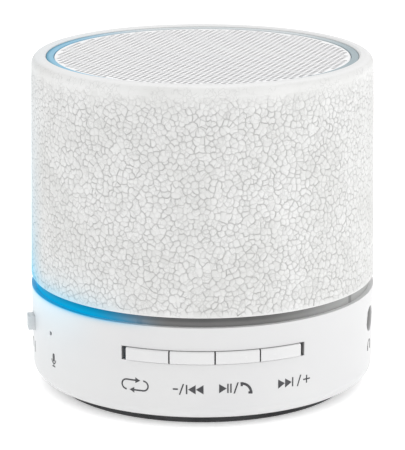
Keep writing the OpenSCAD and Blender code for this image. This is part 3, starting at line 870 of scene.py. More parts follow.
# The knob gets a darker, bluish copy of the gloss white: painted blue-grey shade.
KNOB_IN_SHADE = Finish("knob white in painted shade", "gloss_white", (0.64, 0.67, 0.69), (0.58, 0.62, 0.64), (0.25, 0.36), cloud_mm=3.0,
              grain_mm=0.4, depth_mm=0.002, dust=0.1)
# The clear guide's dark grey colour is painted shade: the dark inside of the body seen through the acrylic.
CLEAR = Guide("clear guide", "clear_guide", (0.13, 0.13, 0.128), (0.11, 0.11, 0.11), (0.3, 0.42),
              cloud_mm=5.0, grain_mm=0.5, depth_mm=0.002, dust=0.05, specular=0.02, glow_colour=BLUE,
              glow_strength=1.0)
GRILLE = PunchedSheet("grille white", "grille_white", (0.9, 0.9, 0.905), (0.87, 0.87, 0.88), (0.38, 0.5),
                      cloud_mm=12.0, grain_mm=0.12, depth_mm=0.003, dust=0.15)
SCRIM = Cloth("scrim", "cloth", (0.02, 0.02, 0.021), (0.014, 0.014, 0.015), (0.8, 0.95), depth_mm=0.05,
              specular=0.2)
PLASTIC = Finish("white moulding", "white_plastic", (0.76, 0.76, 0.755), (0.7, 0.7, 0.69), (0.4, 0.55),
                 grain_mm=0.3, depth_mm=0.006)
STEEL = DrawnMetal("plated steel", "steel", (0.62, 0.62, 0.63), (0.54, 0.54, 0.56), (0.24, 0.4), metal=1.0,
                   depth_mm=0.004)
FERRITE = Finish("ferrite", "ferrite", (0.11, 0.11, 0.12), (0.07, 0.07, 0.078), (0.55, 0.8), grain_mm=0.15,
                 depth_mm=0.02, specular=0.35)
CARD = Finish("pressed card", "card", (0.15, 0.14, 0.13), (0.1, 0.095, 0.09), (0.75, 0.92), grain_mm=0.18,
              depth_mm=0.03, specular=0.2)
LAMINATE = CircuitBoard("tan laminate", "laminate", (0.6, 0.47, 0.29), (0.52, 0.39, 0.22), (0.4, 0.55),
                        depth_mm=0.02, track_colour=(0.66, 0.5, 0.3))
COPPER = Winding("copper winding", "copper", (0.72, 0.36, 0.18), (0.42, 0.17, 0.07), (0.2, 0.34), metal=1.0,
                 depth_mm=0.03)
SPIDER = Cloth("doped cloth", "doped_cloth", (0.62, 0.42, 0.15), (0.5, 0.32, 0.1), (0.5, 0.7), depth_mm=0.04,
               thread_mm=0.4, gap_colour=(0.24, 0.14, 0.04))
PAPER = Finish("cone paper", "cone_paper", (0.065, 0.065, 0.07), (0.035, 0.035, 0.04), (0.7, 0.9),
               grain_mm=0.35, depth_mm=0.04, specular=0.25)
RUBBER = Finish("black rubber", "rubber_black", (0.045, 0.045, 0.048), (0.028, 0.028, 0.03), (0.55, 0.75),
                grain_mm=0.2, depth_mm=0.02, specular=0.35, dust=0.7)
BOARD = CircuitBoard("green board", "board_green", (0.02, 0.2, 0.09), (0.015, 0.16, 0.07), (0.25, 0.4),
                     depth_mm=0.03)
LAMP_BOARD = CircuitBoard("white board", "board_white", (0.78, 0.78, 0.76), (0.72, 0.72, 0.7), (0.3, 0.45),
                          depth_mm=0.02, track_colour=(0.84, 0.84, 0.82))
COMPOUND = Finish("black compound", "chip_black", (0.045, 0.045, 0.05), (0.03, 0.03, 0.034), (0.4, 0.6),
                  grain_mm=0.12, depth_mm=0.01)
CAN = DrawnMetal("drawn can", "aluminium_can", (0.7, 0.71, 0.72), (0.62, 0.63, 0.65), (0.2, 0.34), metal=1.0,
                 depth_mm=0.003, stretch=(1.0, 1.0, 40.0))
POUCH = DrawnMetal("pouch foil", "pouch", (0.6, 0.61, 0.63), (0.5, 0.51, 0.54), (0.3, 0.45), metal=0.9,
                   depth_mm=0.05, stretch=(0.6, 0.3, 0.6))
FOAM = Finish("grey foam", "foam", (0.19, 0.19, 0.2), (0.1, 0.1, 0.11), (0.85, 1.0), grain_mm=0.4,
              depth_mm=0.12, specular=0.1)
WIRE = Finish("wire sleeving", "wire_red", (0.5, 0.045, 0.035), (0.4, 0.03, 0.025), (0.35, 0.5),
              grain_mm=0.25, depth_mm=0.006)
INK = Finish("legend ink", None, (0.05, 0.05, 0.055), (0.035, 0.035, 0.04), (0.45, 0.6), cloud_mm=1.2,
             grain_mm=0.1, depth_mm=0.003, dust=0.0)
GILT = DrawnMetal("gilt contacts", None, (0.83, 0.62, 0.26), (0.74, 0.52, 0.2), (0.2, 0.32), metal=1.0,
                  depth_mm=0.002)
FLOOR = Ground("pale floor", None, (0.965, 0.965, 0.965), (0.955, 0.955, 0.955), (0.6, 0.7), cloud_mm=60.0,
               grain_mm=1.5, depth_mm=0.01, dust=0.0, specular=0.2, glow_strength=0.32)
LAMP = Lamp("lamp package", "led_blue", (0.4, 0.7, 0.95), (0.3, 0.6, 0.9), (0.2, 0.3), cloud_mm=1.0,
            depth_mm=0.002, glow_colour=BLUE, glow_strength=2.0)

# ------------------------------------------------------------------ mesh tools


class Draft:
    """Collects points and faces, and turns them into a piece."""

    def __init__(self, masks: Sequence[str] = ()) -> None:
        """Starts an empty mesh with named values at its points.

        Args:
            masks: Names of the values.
        """
        self.points: list[Vector] = []
        self.faces: list[tuple[int, ...]] = []
        self.masks: dict[str, list[float]] = {name: [] for name in masks}

    def point(self, place: Vector, **masks: float) -> int:
        """Adds a point.

        Args:
            place: Where it is, in metres.
            masks: Values for the named masks, 0 where none is given.

        Returns:
            The point's number.
        """
        self.points.append(place)
        for name, values in self.masks.items():
            values.append(masks.get(name, 0.0))
        return len(self.points) - 1

    def face(self, *corners: int) -> None:
        """Adds a face, leaving out repeated corners.

        Args:
            corners: Numbers of the face's points, in order.
        """
        kept = [c for place, c in enumerate(corners) if c != corners[place - 1]]
        if len(set(kept)) == len(kept) > 2:
            self.faces.append(tuple(kept))

    def strip(self, low: Sequence[int], high: Sequence[int]) -> None:
        """Joins two closed rings that hold the same number of points.

        Args:
            low: Numbers of the lower ring.
            high: Numbers of the upper ring.
        """
        for place in range(len(low)):
            after = (place + 1) % len(low)
            self.face(low[place], low[after], high[after], high[place])

    def zip(self, low: Sequence[tuple[float, int]], high: Sequence[tuple[float, int]]) -> None:
        """Joins two closed rings with different numbers of points.

        Args:
            low: Turn (0 to 1) and number of each point of the lower ring, in order.
            high: The same for the upper ring.
        """
        i = j = 0
        while i < len(low) or j < len(high):
            a, b = low[i % len(low)][1], high[j % len(high)][1]
            next_low = low[i % len(low) + 1][0] if i % len(low) + 1 < len(low) else 1.0 + low[0][0]
            next_high = high[j % len(high) + 1][0] if j % len(high) + 1 < len(high) else 1.0 + high[0][0]
            if j >= len(high) or (i < len(low) and next_low <= next_high):
                self.face(a, low[(i + 1) % len(low)][1], b)
                i += 1
            else:
                self.face(a, high[(j + 1) % len(high)][1], b)
                j += 1

    def piece(self, name: str, finish: Finish, body: str = "housing", flat_turn: float = 40.0) -> Piece:
        """Makes the piece.

        Args:
            name: The piece's name.
            finish: Its finish.
            body: CAD body that it rides on.
            flat_turn: Edges that turn by more than this many degrees stay sharp.

        Returns:
            The new object.
        """
        mesh = bpy.data.meshes.new(name)
        mesh.from_pydata(self.points, [], self.faces)
        for mask, values in self.masks.items():
            mesh.attributes.new(mask, "FLOAT", "POINT").data.foreach_set("value", values)
        mesh.validate()
        mesh.polygons.foreach_set("use_smooth", [True] * len(mesh.polygons))
        mesh.set_sharp_from_angle(angle=math.radians(flat_turn))
        made = bpy.data.objects.new(name, mesh)
        bpy.context.scene.collection.objects.link(made)
        finish.dress(made)
        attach(made, body)
        LOG.info("%s: %d faces on %s", name, len(mesh.polygons), body)
        return made


def arc(middle: Flat, radius: float, start: float, end: float, steps: int) -> list[Flat]:
    """Points along an arc.

    Args:
        middle: The arc's centre.
        radius: Its radius.
        start: First angle in degrees.
        end: Last angle in degrees.
        steps: Number of pieces that it is cut into.

    Returns:
        The points, both ends included.
    """
    turns = [math.radians(lerp(start, end, step / steps)) for step in range(steps + 1)]
    return [(middle[0] + radius * math.cos(t), middle[1] + radius * math.sin(t)) for t in turns]


def clip(shape: Sequence[Flat], far: Callable[[float, float], float], slack: float) -> list[Flat]:
    """Cuts a flat shape along a line.

    Args:
        shape: The shape's corners.
        far: How far a point lies past the line.
        slack: Distance from the line that counts as on it.

    Returns:
        The corners of the part that isn't past the line.
    """
    kept = []
    for place, (ax, ay) in enumerate(shape):
        bx, by = shape[(place + 1) % len(shape)]
        da, db = far(ax, ay), far(bx, by)
        if da <= slack:
            kept.append((ax, ay))
        if min(da, db) < -slack and max(da, db) > slack:
            kept.append((lerp(ax, bx, da / (da - db)), lerp(ay, by, da / (da - db))))
    return kept


def circle_middle(first: Flat, second: Flat, third: Flat) -> Optional[Flat]:
    """Centre of the circle through three points, or None where they lie on one line.

    Args:
        first: A point.
        second: Another point.
        third: A third point.

    Returns:
        The centre, or None.
    """
    (ax, ay), (bx, by), (cx, cy) = first, second, third
    d = 2 * (ax * (by - cy) + bx * (cy - ay) + cx * (ay - by))
    if abs(d) < 1e-9:
        return None
    aa, bb, cc = ax * ax + ay * ay, bx * bx + by * by, cx * cx + cy * cy
    return ((aa * (by - cy) + bb * (cy - ay) + cc * (ay - by)) / d,
            (aa * (cx - bx) + bb * (ax - cx) + cc * (bx - ax)) / d)


# ---------------------------------------------------------------- sub-assemblies

Key = tuple[int, int]
Ring = list[tuple[float, float, frozenset[int]]]
Plan = list[tuple[float, float, float]]


@dataclass(frozen=True)
class Corner:
    """A point of a cell's outline on the unrolled field, with how open the cracks on both sides are."""

    along: float
    height: float
    number: int
    before: float
    after: float


@dataclass
class CrackleSleeve:
    """Upper sleeve: a field of crackled cells, a smooth lip and a plain inside. Sizes in mm."""

    foot_r: float = 30.0
    top_r: float = 29.4
    seam: float = 19.4
    top: float = 58.0
    lip_round: float = 1.6
    lip_in_r: float = 26.9
    lip_chamfer: float = 0.3
    lip_under: float = 55.6
    wall: float = 1.5
    field_low: float = 19.62
    field_high: float = 56.2
    fade_low: float = 53.0
    fade_high: float = 57.9
    bare_low: float = 57.3
    bare_high: float = 57.98
    foot_chamfer: float = 0.16
    cell: float = 0.92
    cell_shake: float = 0.6
    block: float = 1.7
    block_shake: float = 0.7
    ragged: float = 0.25
    block_cracks: Flat = (0.45, 1.0)
    cell_cracks: tuple[float, ...] = (0.1, 0.2, 0.35, 0.5)
    least_crack: float = 0.04
    crack_w: float = 0.46
    crack_depth: float = 0.14
    hairline: float = 0.02
    most_pull: float = 0.42
    bent_from: float = 0.5
    sway: float = 0.2
    snap: float = 2e-3
    seed: int = 11
    keys: set[Key] = field(default_factory=set)
    numbers: dict[tuple, int] = field(default_factory=dict)
    bends: dict[tuple, Flat] = field(default_factory=dict)
    edges: dict[bool, dict[int, float]] = field(default_factory=lambda: {False: {}, True: {}})

    @property
    def girth(self) -> float:
        """Length round the foot, which the field is unrolled to."""
        return math.tau * self.foot_r

    def wall_r(self, height: float) -> float:
        """Radius of the outer face at a height."""
        share = (height - self.seam) / (self.top - self.lip_round - self.seam)
        return lerp(self.foot_r, self.top_r, share)

    def at(self, along: float, height: float, inward: float = 0.0) -> Vector:
        """Point of the unrolled field on the sleeve."""
        return spot(self.wall_r(height) - inward, along / self.girth * 360.0, height)

    def seeds(self, pitch: float, rng: random.Random, shake: float) -> list[Flat]:
        """Scattered points, one for each cell of an unrolled grid.

        Args:
            pitch: Distance between grid lines.
            rng: Source of the scatter.
            shake: How far a point may leave the middle of its square, in pitches.

        Returns:
            The points.
        """
        across = round(self.girth / pitch)
        up = round((self.field_high - self.field_low) / pitch)
        step_x, step_y = self.girth / across, (self.field_high - self.field_low) / up
        low, high = 0.15, 0.85
        return [((i + 0.5 + 0.5 * (j % 2) + shake * rng.uniform(-1, 1)) * step_x % self.girth,
                 self.field_low + (j + min(high, max(low, 0.5 + shake * rng.uniform(-1, 1)))) * step_y)
                for j in range(up) for i in range(across)]

    def blocks(self, cells: list[Flat], coarse: list[Flat], rng: random.Random) -> list[int]:
        """The big block that each cell belongs to: the nearest one, give or take.

        Args:
            cells: The cells' points.
            coarse: The blocks' points.
            rng: Source of the blocks' ragged borders.

        Returns:
            Each cell's block.
        """
        size = self.block * 2
        bins: dict[Key, list[int]] = {}
        wide = int(self.girth / size) + 1
        for number, (x, y) in enumerate(coarse):
            bins.setdefault((int(x / size) % wide, int(y / size)), []).append(number)
        owners = []
        for x, y in cells:
            near = [n for a in (-1, 0, 1) for b in (-1, 0, 1)
                    for n in bins.get(((int(x / size) + a) % wide, int(y / size) + b), [])]
            owners.append(min(near, key=lambda n: self.gap((x, y), coarse[n]) + rng.uniform(0, self.ragged)))
        return owners

    def gap(self, first: Flat, second: Flat) -> float:
        """Distance between two points of the unrolled field."""
        along = abs(first[0] - second[0])
        return math.hypot(min(along, self.girth - along), first[1] - second[1])

    def corners(self, cells: list[Flat]) -> list[Ring]:
        """Corners of every cell: the centres of the circles through three neighbouring points.

        Args:
            cells: The cells' points.

        Returns:
            For each cell its corners in order, as offsets from its own point with the three neighbours.
        """
        wrap, mirror = 5.0, 3.5
        spread = []
        for number, (x, y) in enumerate(cells):
            for shift in (-self.girth, 0.0, self.girth):
                if -wrap < x + shift < self.girth + wrap:
                    spread.append((x + shift, y, number))
                    for edge in (self.field_low, self.field_high):
                        if abs(y - edge) < mirror:
                            spread.append((x + shift, 2 * edge - y, number + len(cells)))
        flat = delaunay_2d_cdt([Vector(s[:2]) for s in spread], [], [], 0, 1e-7, True)
        found: list[Ring] = [[] for _ in cells]
        origin = [o[0] for o in flat[3]]
        for triangle in flat[2]:
            three = [spread[origin[v]] for v in triangle]
            middle = circle_middle(*[t[:2] for t in three])
            names = frozenset(t[2] for t in three)
            for px, py, number in three:
                if middle and number < len(cells) and 0.0 <= px < self.girth:
                    found[number].append((middle[0] - px, middle[1] - py, names))
        for ring in found:
            ring.sort(key=lambda c: math.atan2(c[1], c[0]))
        return found

    def cover(self, height: float) -> float:
        """How much of the crackle's colour a height keeps: all of it, but none on the lip's top."""
        return 1.0 - fade(self.bare_low, self.bare_high, height)

    def crack(self, first: int, second: int, owners: list[int], height: float, rng: random.Random) -> float:
        """How open the crack between two cells is, from 0 to 1.

        Args:
            first: One cell.
            second: The other cell, or a number past the last cell's at the field's edge.
            owners: The block that each cell belongs to.
            height: Height of the crack.
            rng: Source of the crack's width.

        Returns:
            How open it is.
        """
        if max(first, second) >= len(owners):
            return 0.0
        if owners[first] != owners[second]:
            openness = rng.uniform(*self.block_cracks)
        else:
            openness = rng.choice(self.cell_cracks)
        return max(self.least_crack, openness * (1.0 - fade(self.fade_low, self.fade_high, height)))

    def plans(self, cells: list[Flat], owners: list[int], rng: random.Random) -> list[Plan]:
        """Corners of every cell with how open the crack after each is.

        Args:
            cells: The cells' points.
            owners: The block that each cell belongs to.
            rng: Source of the cracks' widths.

        Returns:
            For each cell its corners in order, as place along the field, height and openness.
        """
        opened: dict[frozenset[int], float] = {}
        plans = []
        for number, (cell, ring) in enumerate(zip(cells, self.corners(cells))):
            plan = []
            for place, (dx, dy, names) in enumerate(ring):
                after = ring[(place + 1) % len(ring)]
                if math.hypot(after[0] - dx, after[1] - dy) < self.snap:
                    continue
                shared = (names & after[2]) - {number}
                pair = frozenset((number, min(shared) if shared else number))
                if pair not in opened:
                    opened[pair] = self.crack(min(pair), max(pair), owners, cell[1] + dy, rng)
                plan.append((cell[0] + dx, cell[1] + dy, opened[pair]))
            plans.append(plan)
        return plans

    def groove(self, draft: Draft, along: float, height: float, openness: float) -> int:
        """Adds a point at the bottom of a crack."""
        return draft.point(self.at(along, height, self.crack_depth * openness), crack=openness,
                           reach=self.cover(height))

    def note_edge(self, number: int, along: float, height: float) -> None:
        """Remembers a point on the field's lower or upper edge."""
        self.edges[height > (self.field_low + self.field_high) / 2][number] = along % self.girth

    def bend(self, draft: Draft, first: Flat, second: Flat, openness: float, flat: bool,
             rng: random.Random) -> Corner:
        """Adds the middle of a crack, pushed aside.

        Args:
            draft: The mesh so far.
            first: The crack's start.
            second: Its end.
            openness: How open it is.
            flat: Whether it lies on the field's edge, where it stays straight and shut.
            rng: Source of the push.

        Returns:
            The point, shared with the cell on the other side.
        """
        (x, y), (nx, ny) = first, second
        middle = ("middle", self.key((x + nx) / 2, (y + ny) / 2))
        if middle not in self.numbers:
            push = 0.0 if flat else rng.uniform(-self.sway, self.sway)
            mx, my = (x + nx) / 2 - (ny - y) * push, (y + ny) / 2 + (nx - x) * push
            self.bends[middle] = (mx % self.girth, my)
            self.numbers[middle] = self.groove(draft, mx, my, 0.0 if flat else openness)
            if flat:
                self.note_edge(self.numbers[middle], mx, y)
        mx, my = self.bends[middle]
        mx += round((x - mx) / self.girth) * self.girth
        return Corner(mx, my, self.numbers[middle], openness, openness)

    def outline(self, draft: Draft, plan: Plan, deepest: dict[Key, float],
                rng: random.Random) -> list[Corner]:
        """Adds the points round one cell.

        Args:
            draft: The mesh so far.
            plan: The cell's corners.
            deepest: How open the widest crack at each corner is.
            rng: Source of the bends.

        Returns:
            The points in order.
        """
        outline = []
        for place, (x, y, openness) in enumerate(plan):
            nx, ny = plan[(place + 1) % len(plan)][:2]
            edge = min(abs(y - self.field_low), abs(y - self.field_high)) < self.snap
            key = self.key(x, y)
            if key not in self.numbers:
                self.numbers[key] = self.groove(draft, x, y, 0.0 if edge else deepest[key])
            outline.append(Corner(x, y, self.numbers[key], plan[place - 1][2], openness))
            if edge:
                self.note_edge(self.numbers[key], x, y)
            if math.hypot(nx - x, ny - y) >= self.bent_from:
                flat = edge and abs(y - ny) < self.snap
                outline.append(self.bend(draft, (x, y), (nx, ny), openness, flat, rng))
        return outline

    def fill(self, draft: Draft, outline: list[Corner], tone: float, reach: float) -> None:
        """Adds one cell's face, drawn in from its outline by half the cracks' width.

        Args:
            draft: The mesh so far.
            outline: The points round the cell.
            tone: How much darker the cell is.
            reach: How much of the crackle's colour it keeps.
        """
        mx = sum(c.along for c in outline) / len(outline)
        my = sum(c.height for c in outline) / len(outline)
        face = []
        for place, here in enumerate(outline):
            sides = ((outline[place - 1], here, here.before),
                     (here, outline[(place + 1) % len(outline)], here.after))
            share = 0.0
            for a, b, openness in sides:
                dx, dy = b.along - a.along, b.height - a.height
                across = abs(dx * (my - a.height) - dy * (mx - a.along)) / max(math.hypot(dx, dy), 1e-6)
                share += 0.5 * (self.hairline + 0.5 * self.crack_w * openness) / max(across, 0.12)
            share = min(share, self.most_pull)
            place_in = self.at(lerp(here.along, mx, share), lerp(here.height, my, share))
            face.append(draft.point(place_in, tone=tone, reach=reach))
        draft.strip([c.number for c in outline], face)
        draft.face(*face)

    def build(self) -> Piece:
        """Makes the sleeve with its cracks as real grooves.

        Returns:
            The new piece.
        """
        rng = random.Random(self.seed)
        draft = Draft(("crack", "tone", "reach"))
        cells = self.seeds(self.cell, rng, self.cell_shake)
        owners = self.blocks(cells, self.seeds(self.block, rng, self.block_shake), rng)
        plans = self.plans(cells, owners, rng)
        deepest: dict[Key, float] = {}
        for plan in plans:
            for place, (x, y, openness) in enumerate(plan):
                key = self.key(x, y)
                deepest[key] = max(deepest.get(key, 0.0), openness, plan[place - 1][2])
        for (_, height), plan in zip(cells, plans):
            outline = self.outline(draft, plan, deepest, rng)
            reach = self.cover(height)
            self.fill(draft, outline, rng.random() ** 2 * reach, reach)
        self.finish_lip(draft)
        made = draft.piece("upper_sleeve_crackle", CRACKLE)
        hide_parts("upper_sleeve")
        return made

    def key(self, along: float, height: float) -> Key:
        """Name of a point of the field, shared by all points that fall together, also across the join.

        Args:
            along: Place round the sleeve.
            height: Height over the table.

        Returns:
            The name.
        """
        around = round(self.girth / self.snap)
        column, row = round(along % self.girth / self.snap) % around, round(height / self.snap)
        for i in (0, -1, 1):
            for j in (0, -1, 1):
                near = ((column + i) % around, row + j)
                if near in self.keys:
                    return near
        self.keys.add((column, row))
        return column, row

    def finish_lip(self, draft: Draft) -> None:
        """Adds the lip, the inside and the foot edge to the field.

        Args:
            draft: The mesh so far.
        """
        upper = sorted((x / self.girth, number) for number, x in self.edges[True].items())
        lower = sorted((x / self.girth, number) for number, x in self.edges[False].items())
        bend = (self.top_r - self.lip_round, self.top - self.lip_round)
        inner = self.foot_r - self.wall
        profile = arc(bend, self.lip_round, 0.0, 90.0, 9)
        profile += [(self.lip_in_r + self.lip_chamfer, self.top),
                    (self.lip_in_r, self.top - self.lip_chamfer), (self.lip_in_r, self.lip_under),
                    (self.top_r - self.wall, self.lip_under), (inner, self.seam)]
        ring = [number for _, number in upper]
        for radius, height in profile:
            reach = self.cover(height)
            after = [draft.point(spot(radius, turn * 360.0, height), reach=reach) for turn, _ in upper]
            draft.strip(ring, after)
            ring = after
        foot_r = self.foot_r - self.foot_chamfer
        chamfer = [(turn, draft.point(spot(foot_r, turn * 360.0, self.seam))) for turn, _ in lower]
        draft.strip([number for _, number in chamfer], [number for _, number in lower])
        draft.zip([(turn, number) for (turn, _), number in zip(upper, ring)], chamfer)


@dataclass
class PerforatedGrille:
    """Pressed cup with round holes in a triangular pattern. Sizes in mm."""

    radius: float = 25.45
    top: float = 57.5
    sheet: float = 0.3
    bend: float = 0.16
    foot: float = 53.7
    pitch: float = 1.173
    hole_r: float = 0.45
    row_turn: float = 6.8
    margin: float = 0.03
    edge: float = 0.05
    sides: int = 180
    hole_sides: int = 12
    snap: float = 2e-3
    numbers: dict[Key, tuple[int, int]] = field(default_factory=dict)
    rim: dict[Key, float] = field(default_factory=dict)

    def outline(self, x: float, y: float, limit: float) -> list[Flat]:
        """One hole's share of the sheet: a hexagon, cut off at the flat face's rim.

        Args:
            x: Hole's place.
            y: Hole's place.
            limit: Radius of the flat face.

        Returns:
            The corners, or none where nothing is left.
        """
        reach = self.pitch / math.sqrt(3.0)
        turns = [math.radians(self.row_turn + 30.0 + 60.0 * k) for k in range(6)]
        shape = [(x + reach * math.cos(t), y + reach * math.sin(t)) for t in turns]
        if math.hypot(x, y) + reach < limit * math.cos(math.pi / self.sides):
            return shape
        here = round(math.atan2(y, x) / math.tau * self.sides)
        far = limit * math.cos(math.pi / self.sides)
        for k in range(-8, 9):
            middle = (here + k + 0.5) * math.tau / self.sides
            nx, ny = math.cos(middle), math.sin(middle)
            shape = clip(shape, lambda px, py: px * nx + py * ny - far, 1e-9)
            if len(shape) < 3:
                return []
        return shape

    def pair(self, draft: Draft, x: float, y: float) -> tuple[int, int]:
        """Numbers of the points over each other at a place, upper face first.

        Args:
            draft: The mesh so far.
            x: Place on the sheet.
            y: Place on the sheet.

        Returns:
            The upper and the lower point, shared by the holes round them.
        """
        key = (round(x / self.snap), round(y / self.snap))
        if key not in self.numbers:
            self.numbers[key] = (draft.point(Vector((x, y, self.top)) * MM),
                                 draft.point(Vector((x, y, self.top - self.sheet)) * MM))
            if math.hypot(x, y) > self.radius - self.bend - 0.02:
                self.rim[key] = math.atan2(y, x) % math.tau
        return self.numbers[key]

    def centres(self, limit: float) -> Iterable[Flat]:
        """Places of the lattice near the flat face, row by row.

        Args:
            limit: Radius of the flat face.

        Yields:
            Each place.
        """
        turn, count = math.radians(self.row_turn), int(limit / self.pitch * 1.3)
        ax, ay = self.pitch * math.cos(turn), self.pitch * math.sin(turn)
        bx, by = self.pitch * math.cos(turn + math.pi / 3), self.pitch * math.sin(turn + math.pi / 3)
        for i in range(-count, count + 1):
            for j in range(-count, count + 1):
                x, y = i * ax + j * bx, i * ay + j * by
                if math.hypot(x, y) < limit + self.pitch:
                    yield x, y

    def build(self) -> Piece:
        """Makes the cup with all its holes.

        Returns:
            The new piece.
        """
        draft = Draft()
        flat_r, low = self.radius - self.bend, self.top - self.sheet
        for x, y in self.centres(flat_r):
            shape = self.outline(x, y, flat_r)
            pairs = [self.pair(draft, *corner) for corner in shape]
            if math.hypot(x, y) + self.hole_r + self.margin > flat_r:
                draft.face(*[p[0] for p in pairs])
                draft.face(*[p[1] for p in reversed(pairs)])
            else:
                self.pierce(draft, (x, y), shape, pairs, low)
        rim = sorted((angle, self.numbers[key]) for key, angle in self.rim.items())
        self.turn_down(draft, rim, flat_r)
        made = draft.piece("grille_mesh", GRILLE, flat_turn=35.0)
        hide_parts("grille")
        return made

    def pierce(self, draft: Draft, centre: Flat, shape: list[Flat], pairs: list[tuple[int, int]],
               low: float) -> None:
        """Adds the sheet round one hole and the hole's wall.

        Args:
            draft: The mesh so far.
            centre: The hole's place.
            shape: Corners of the hole's share of the sheet.
            pairs: Numbers of those corners on both faces.
            low: Height of the sheet's underside.
        """
        x, y = centre
        ring = [(math.atan2(c[1] - y, c[0] - x) % math.tau / math.tau, p) for c, p in zip(shape, pairs)]
        ring.sort()
        levels = ((self.hole_r + self.edge, self.top), (self.hole_r, self.top - self.edge),
                  (self.hole_r, low))
        hole = []
        for place in range(self.hole_sides):
            turn = (place + 0.25) / self.hole_sides
            dx, dy = math.cos(turn * math.tau), math.sin(turn * math.tau)
            hole.append((turn, [draft.point(Vector((x + r * dx, y + r * dy, z)) * MM) for r, z in levels]))
        draft.zip([(t, p[0]) for t, p in ring], [(t, h[0]) for t, h in hole])
        draft.strip([h[0] for _, h in hole], [h[1] for _, h in hole])
        draft.strip([h[1] for _, h in hole], [h[2] for _, h in hole])
        draft.zip([(t, h[2]) for t, h in hole], [(t, p[1]) for t, p in ring])

    def turn_down(self, draft: Draft, rim: list[tuple[float, tuple[int, int]]], flat_r: float) -> None:
        """Adds the rounded edge and the wall of the cup.

        Args:
            draft: The mesh so far.
            rim: Turn and numbers of the points on the flat face's rim.
            flat_r: Radius of the flat face.
        """
        profile = arc((flat_r, self.top - self.bend), self.bend, 80.0, 0.0, 6)
        profile += [(self.radius, self.foot), (flat_r, self.foot)]
        ring = [p[0] for _, p in rim]
        for radius, height in profile:
            after = [draft.point(Vector((radius * math.cos(t), radius * math.sin(t), height)) * MM)
                     for t, _ in rim]
            draft.strip(after, ring)
            ring = after
        draft.strip([p[1] for _, p in rim], ring)


class Mark(Enum):
    """Generic symbols printed on the base."""

    SOURCE = "mode_legend"
    BACK = "previous_legend"
    PLAY = "play_legend"
    NEXT = "next_legend"
    MICROPHONE = "microphone_legend"
    SWITCH = "switch_legend"
    HEADPHONES = "headphones_legend"


# Degrees from the front and height in mm of each symbol's centre.
LEGEND_PLACES = {Mark.SOURCE: (-26.0, 7.2), Mark.BACK: (-8.4, 7.1), Mark.PLAY: (6.8, 7.25),
                 Mark.NEXT: (27.0, 7.15), Mark.MICROPHONE: (-62.1, 7.65), Mark.SWITCH: (-84.0, 7.2),
                 Mark.HEADPHONES: (71.6, 7.8)}


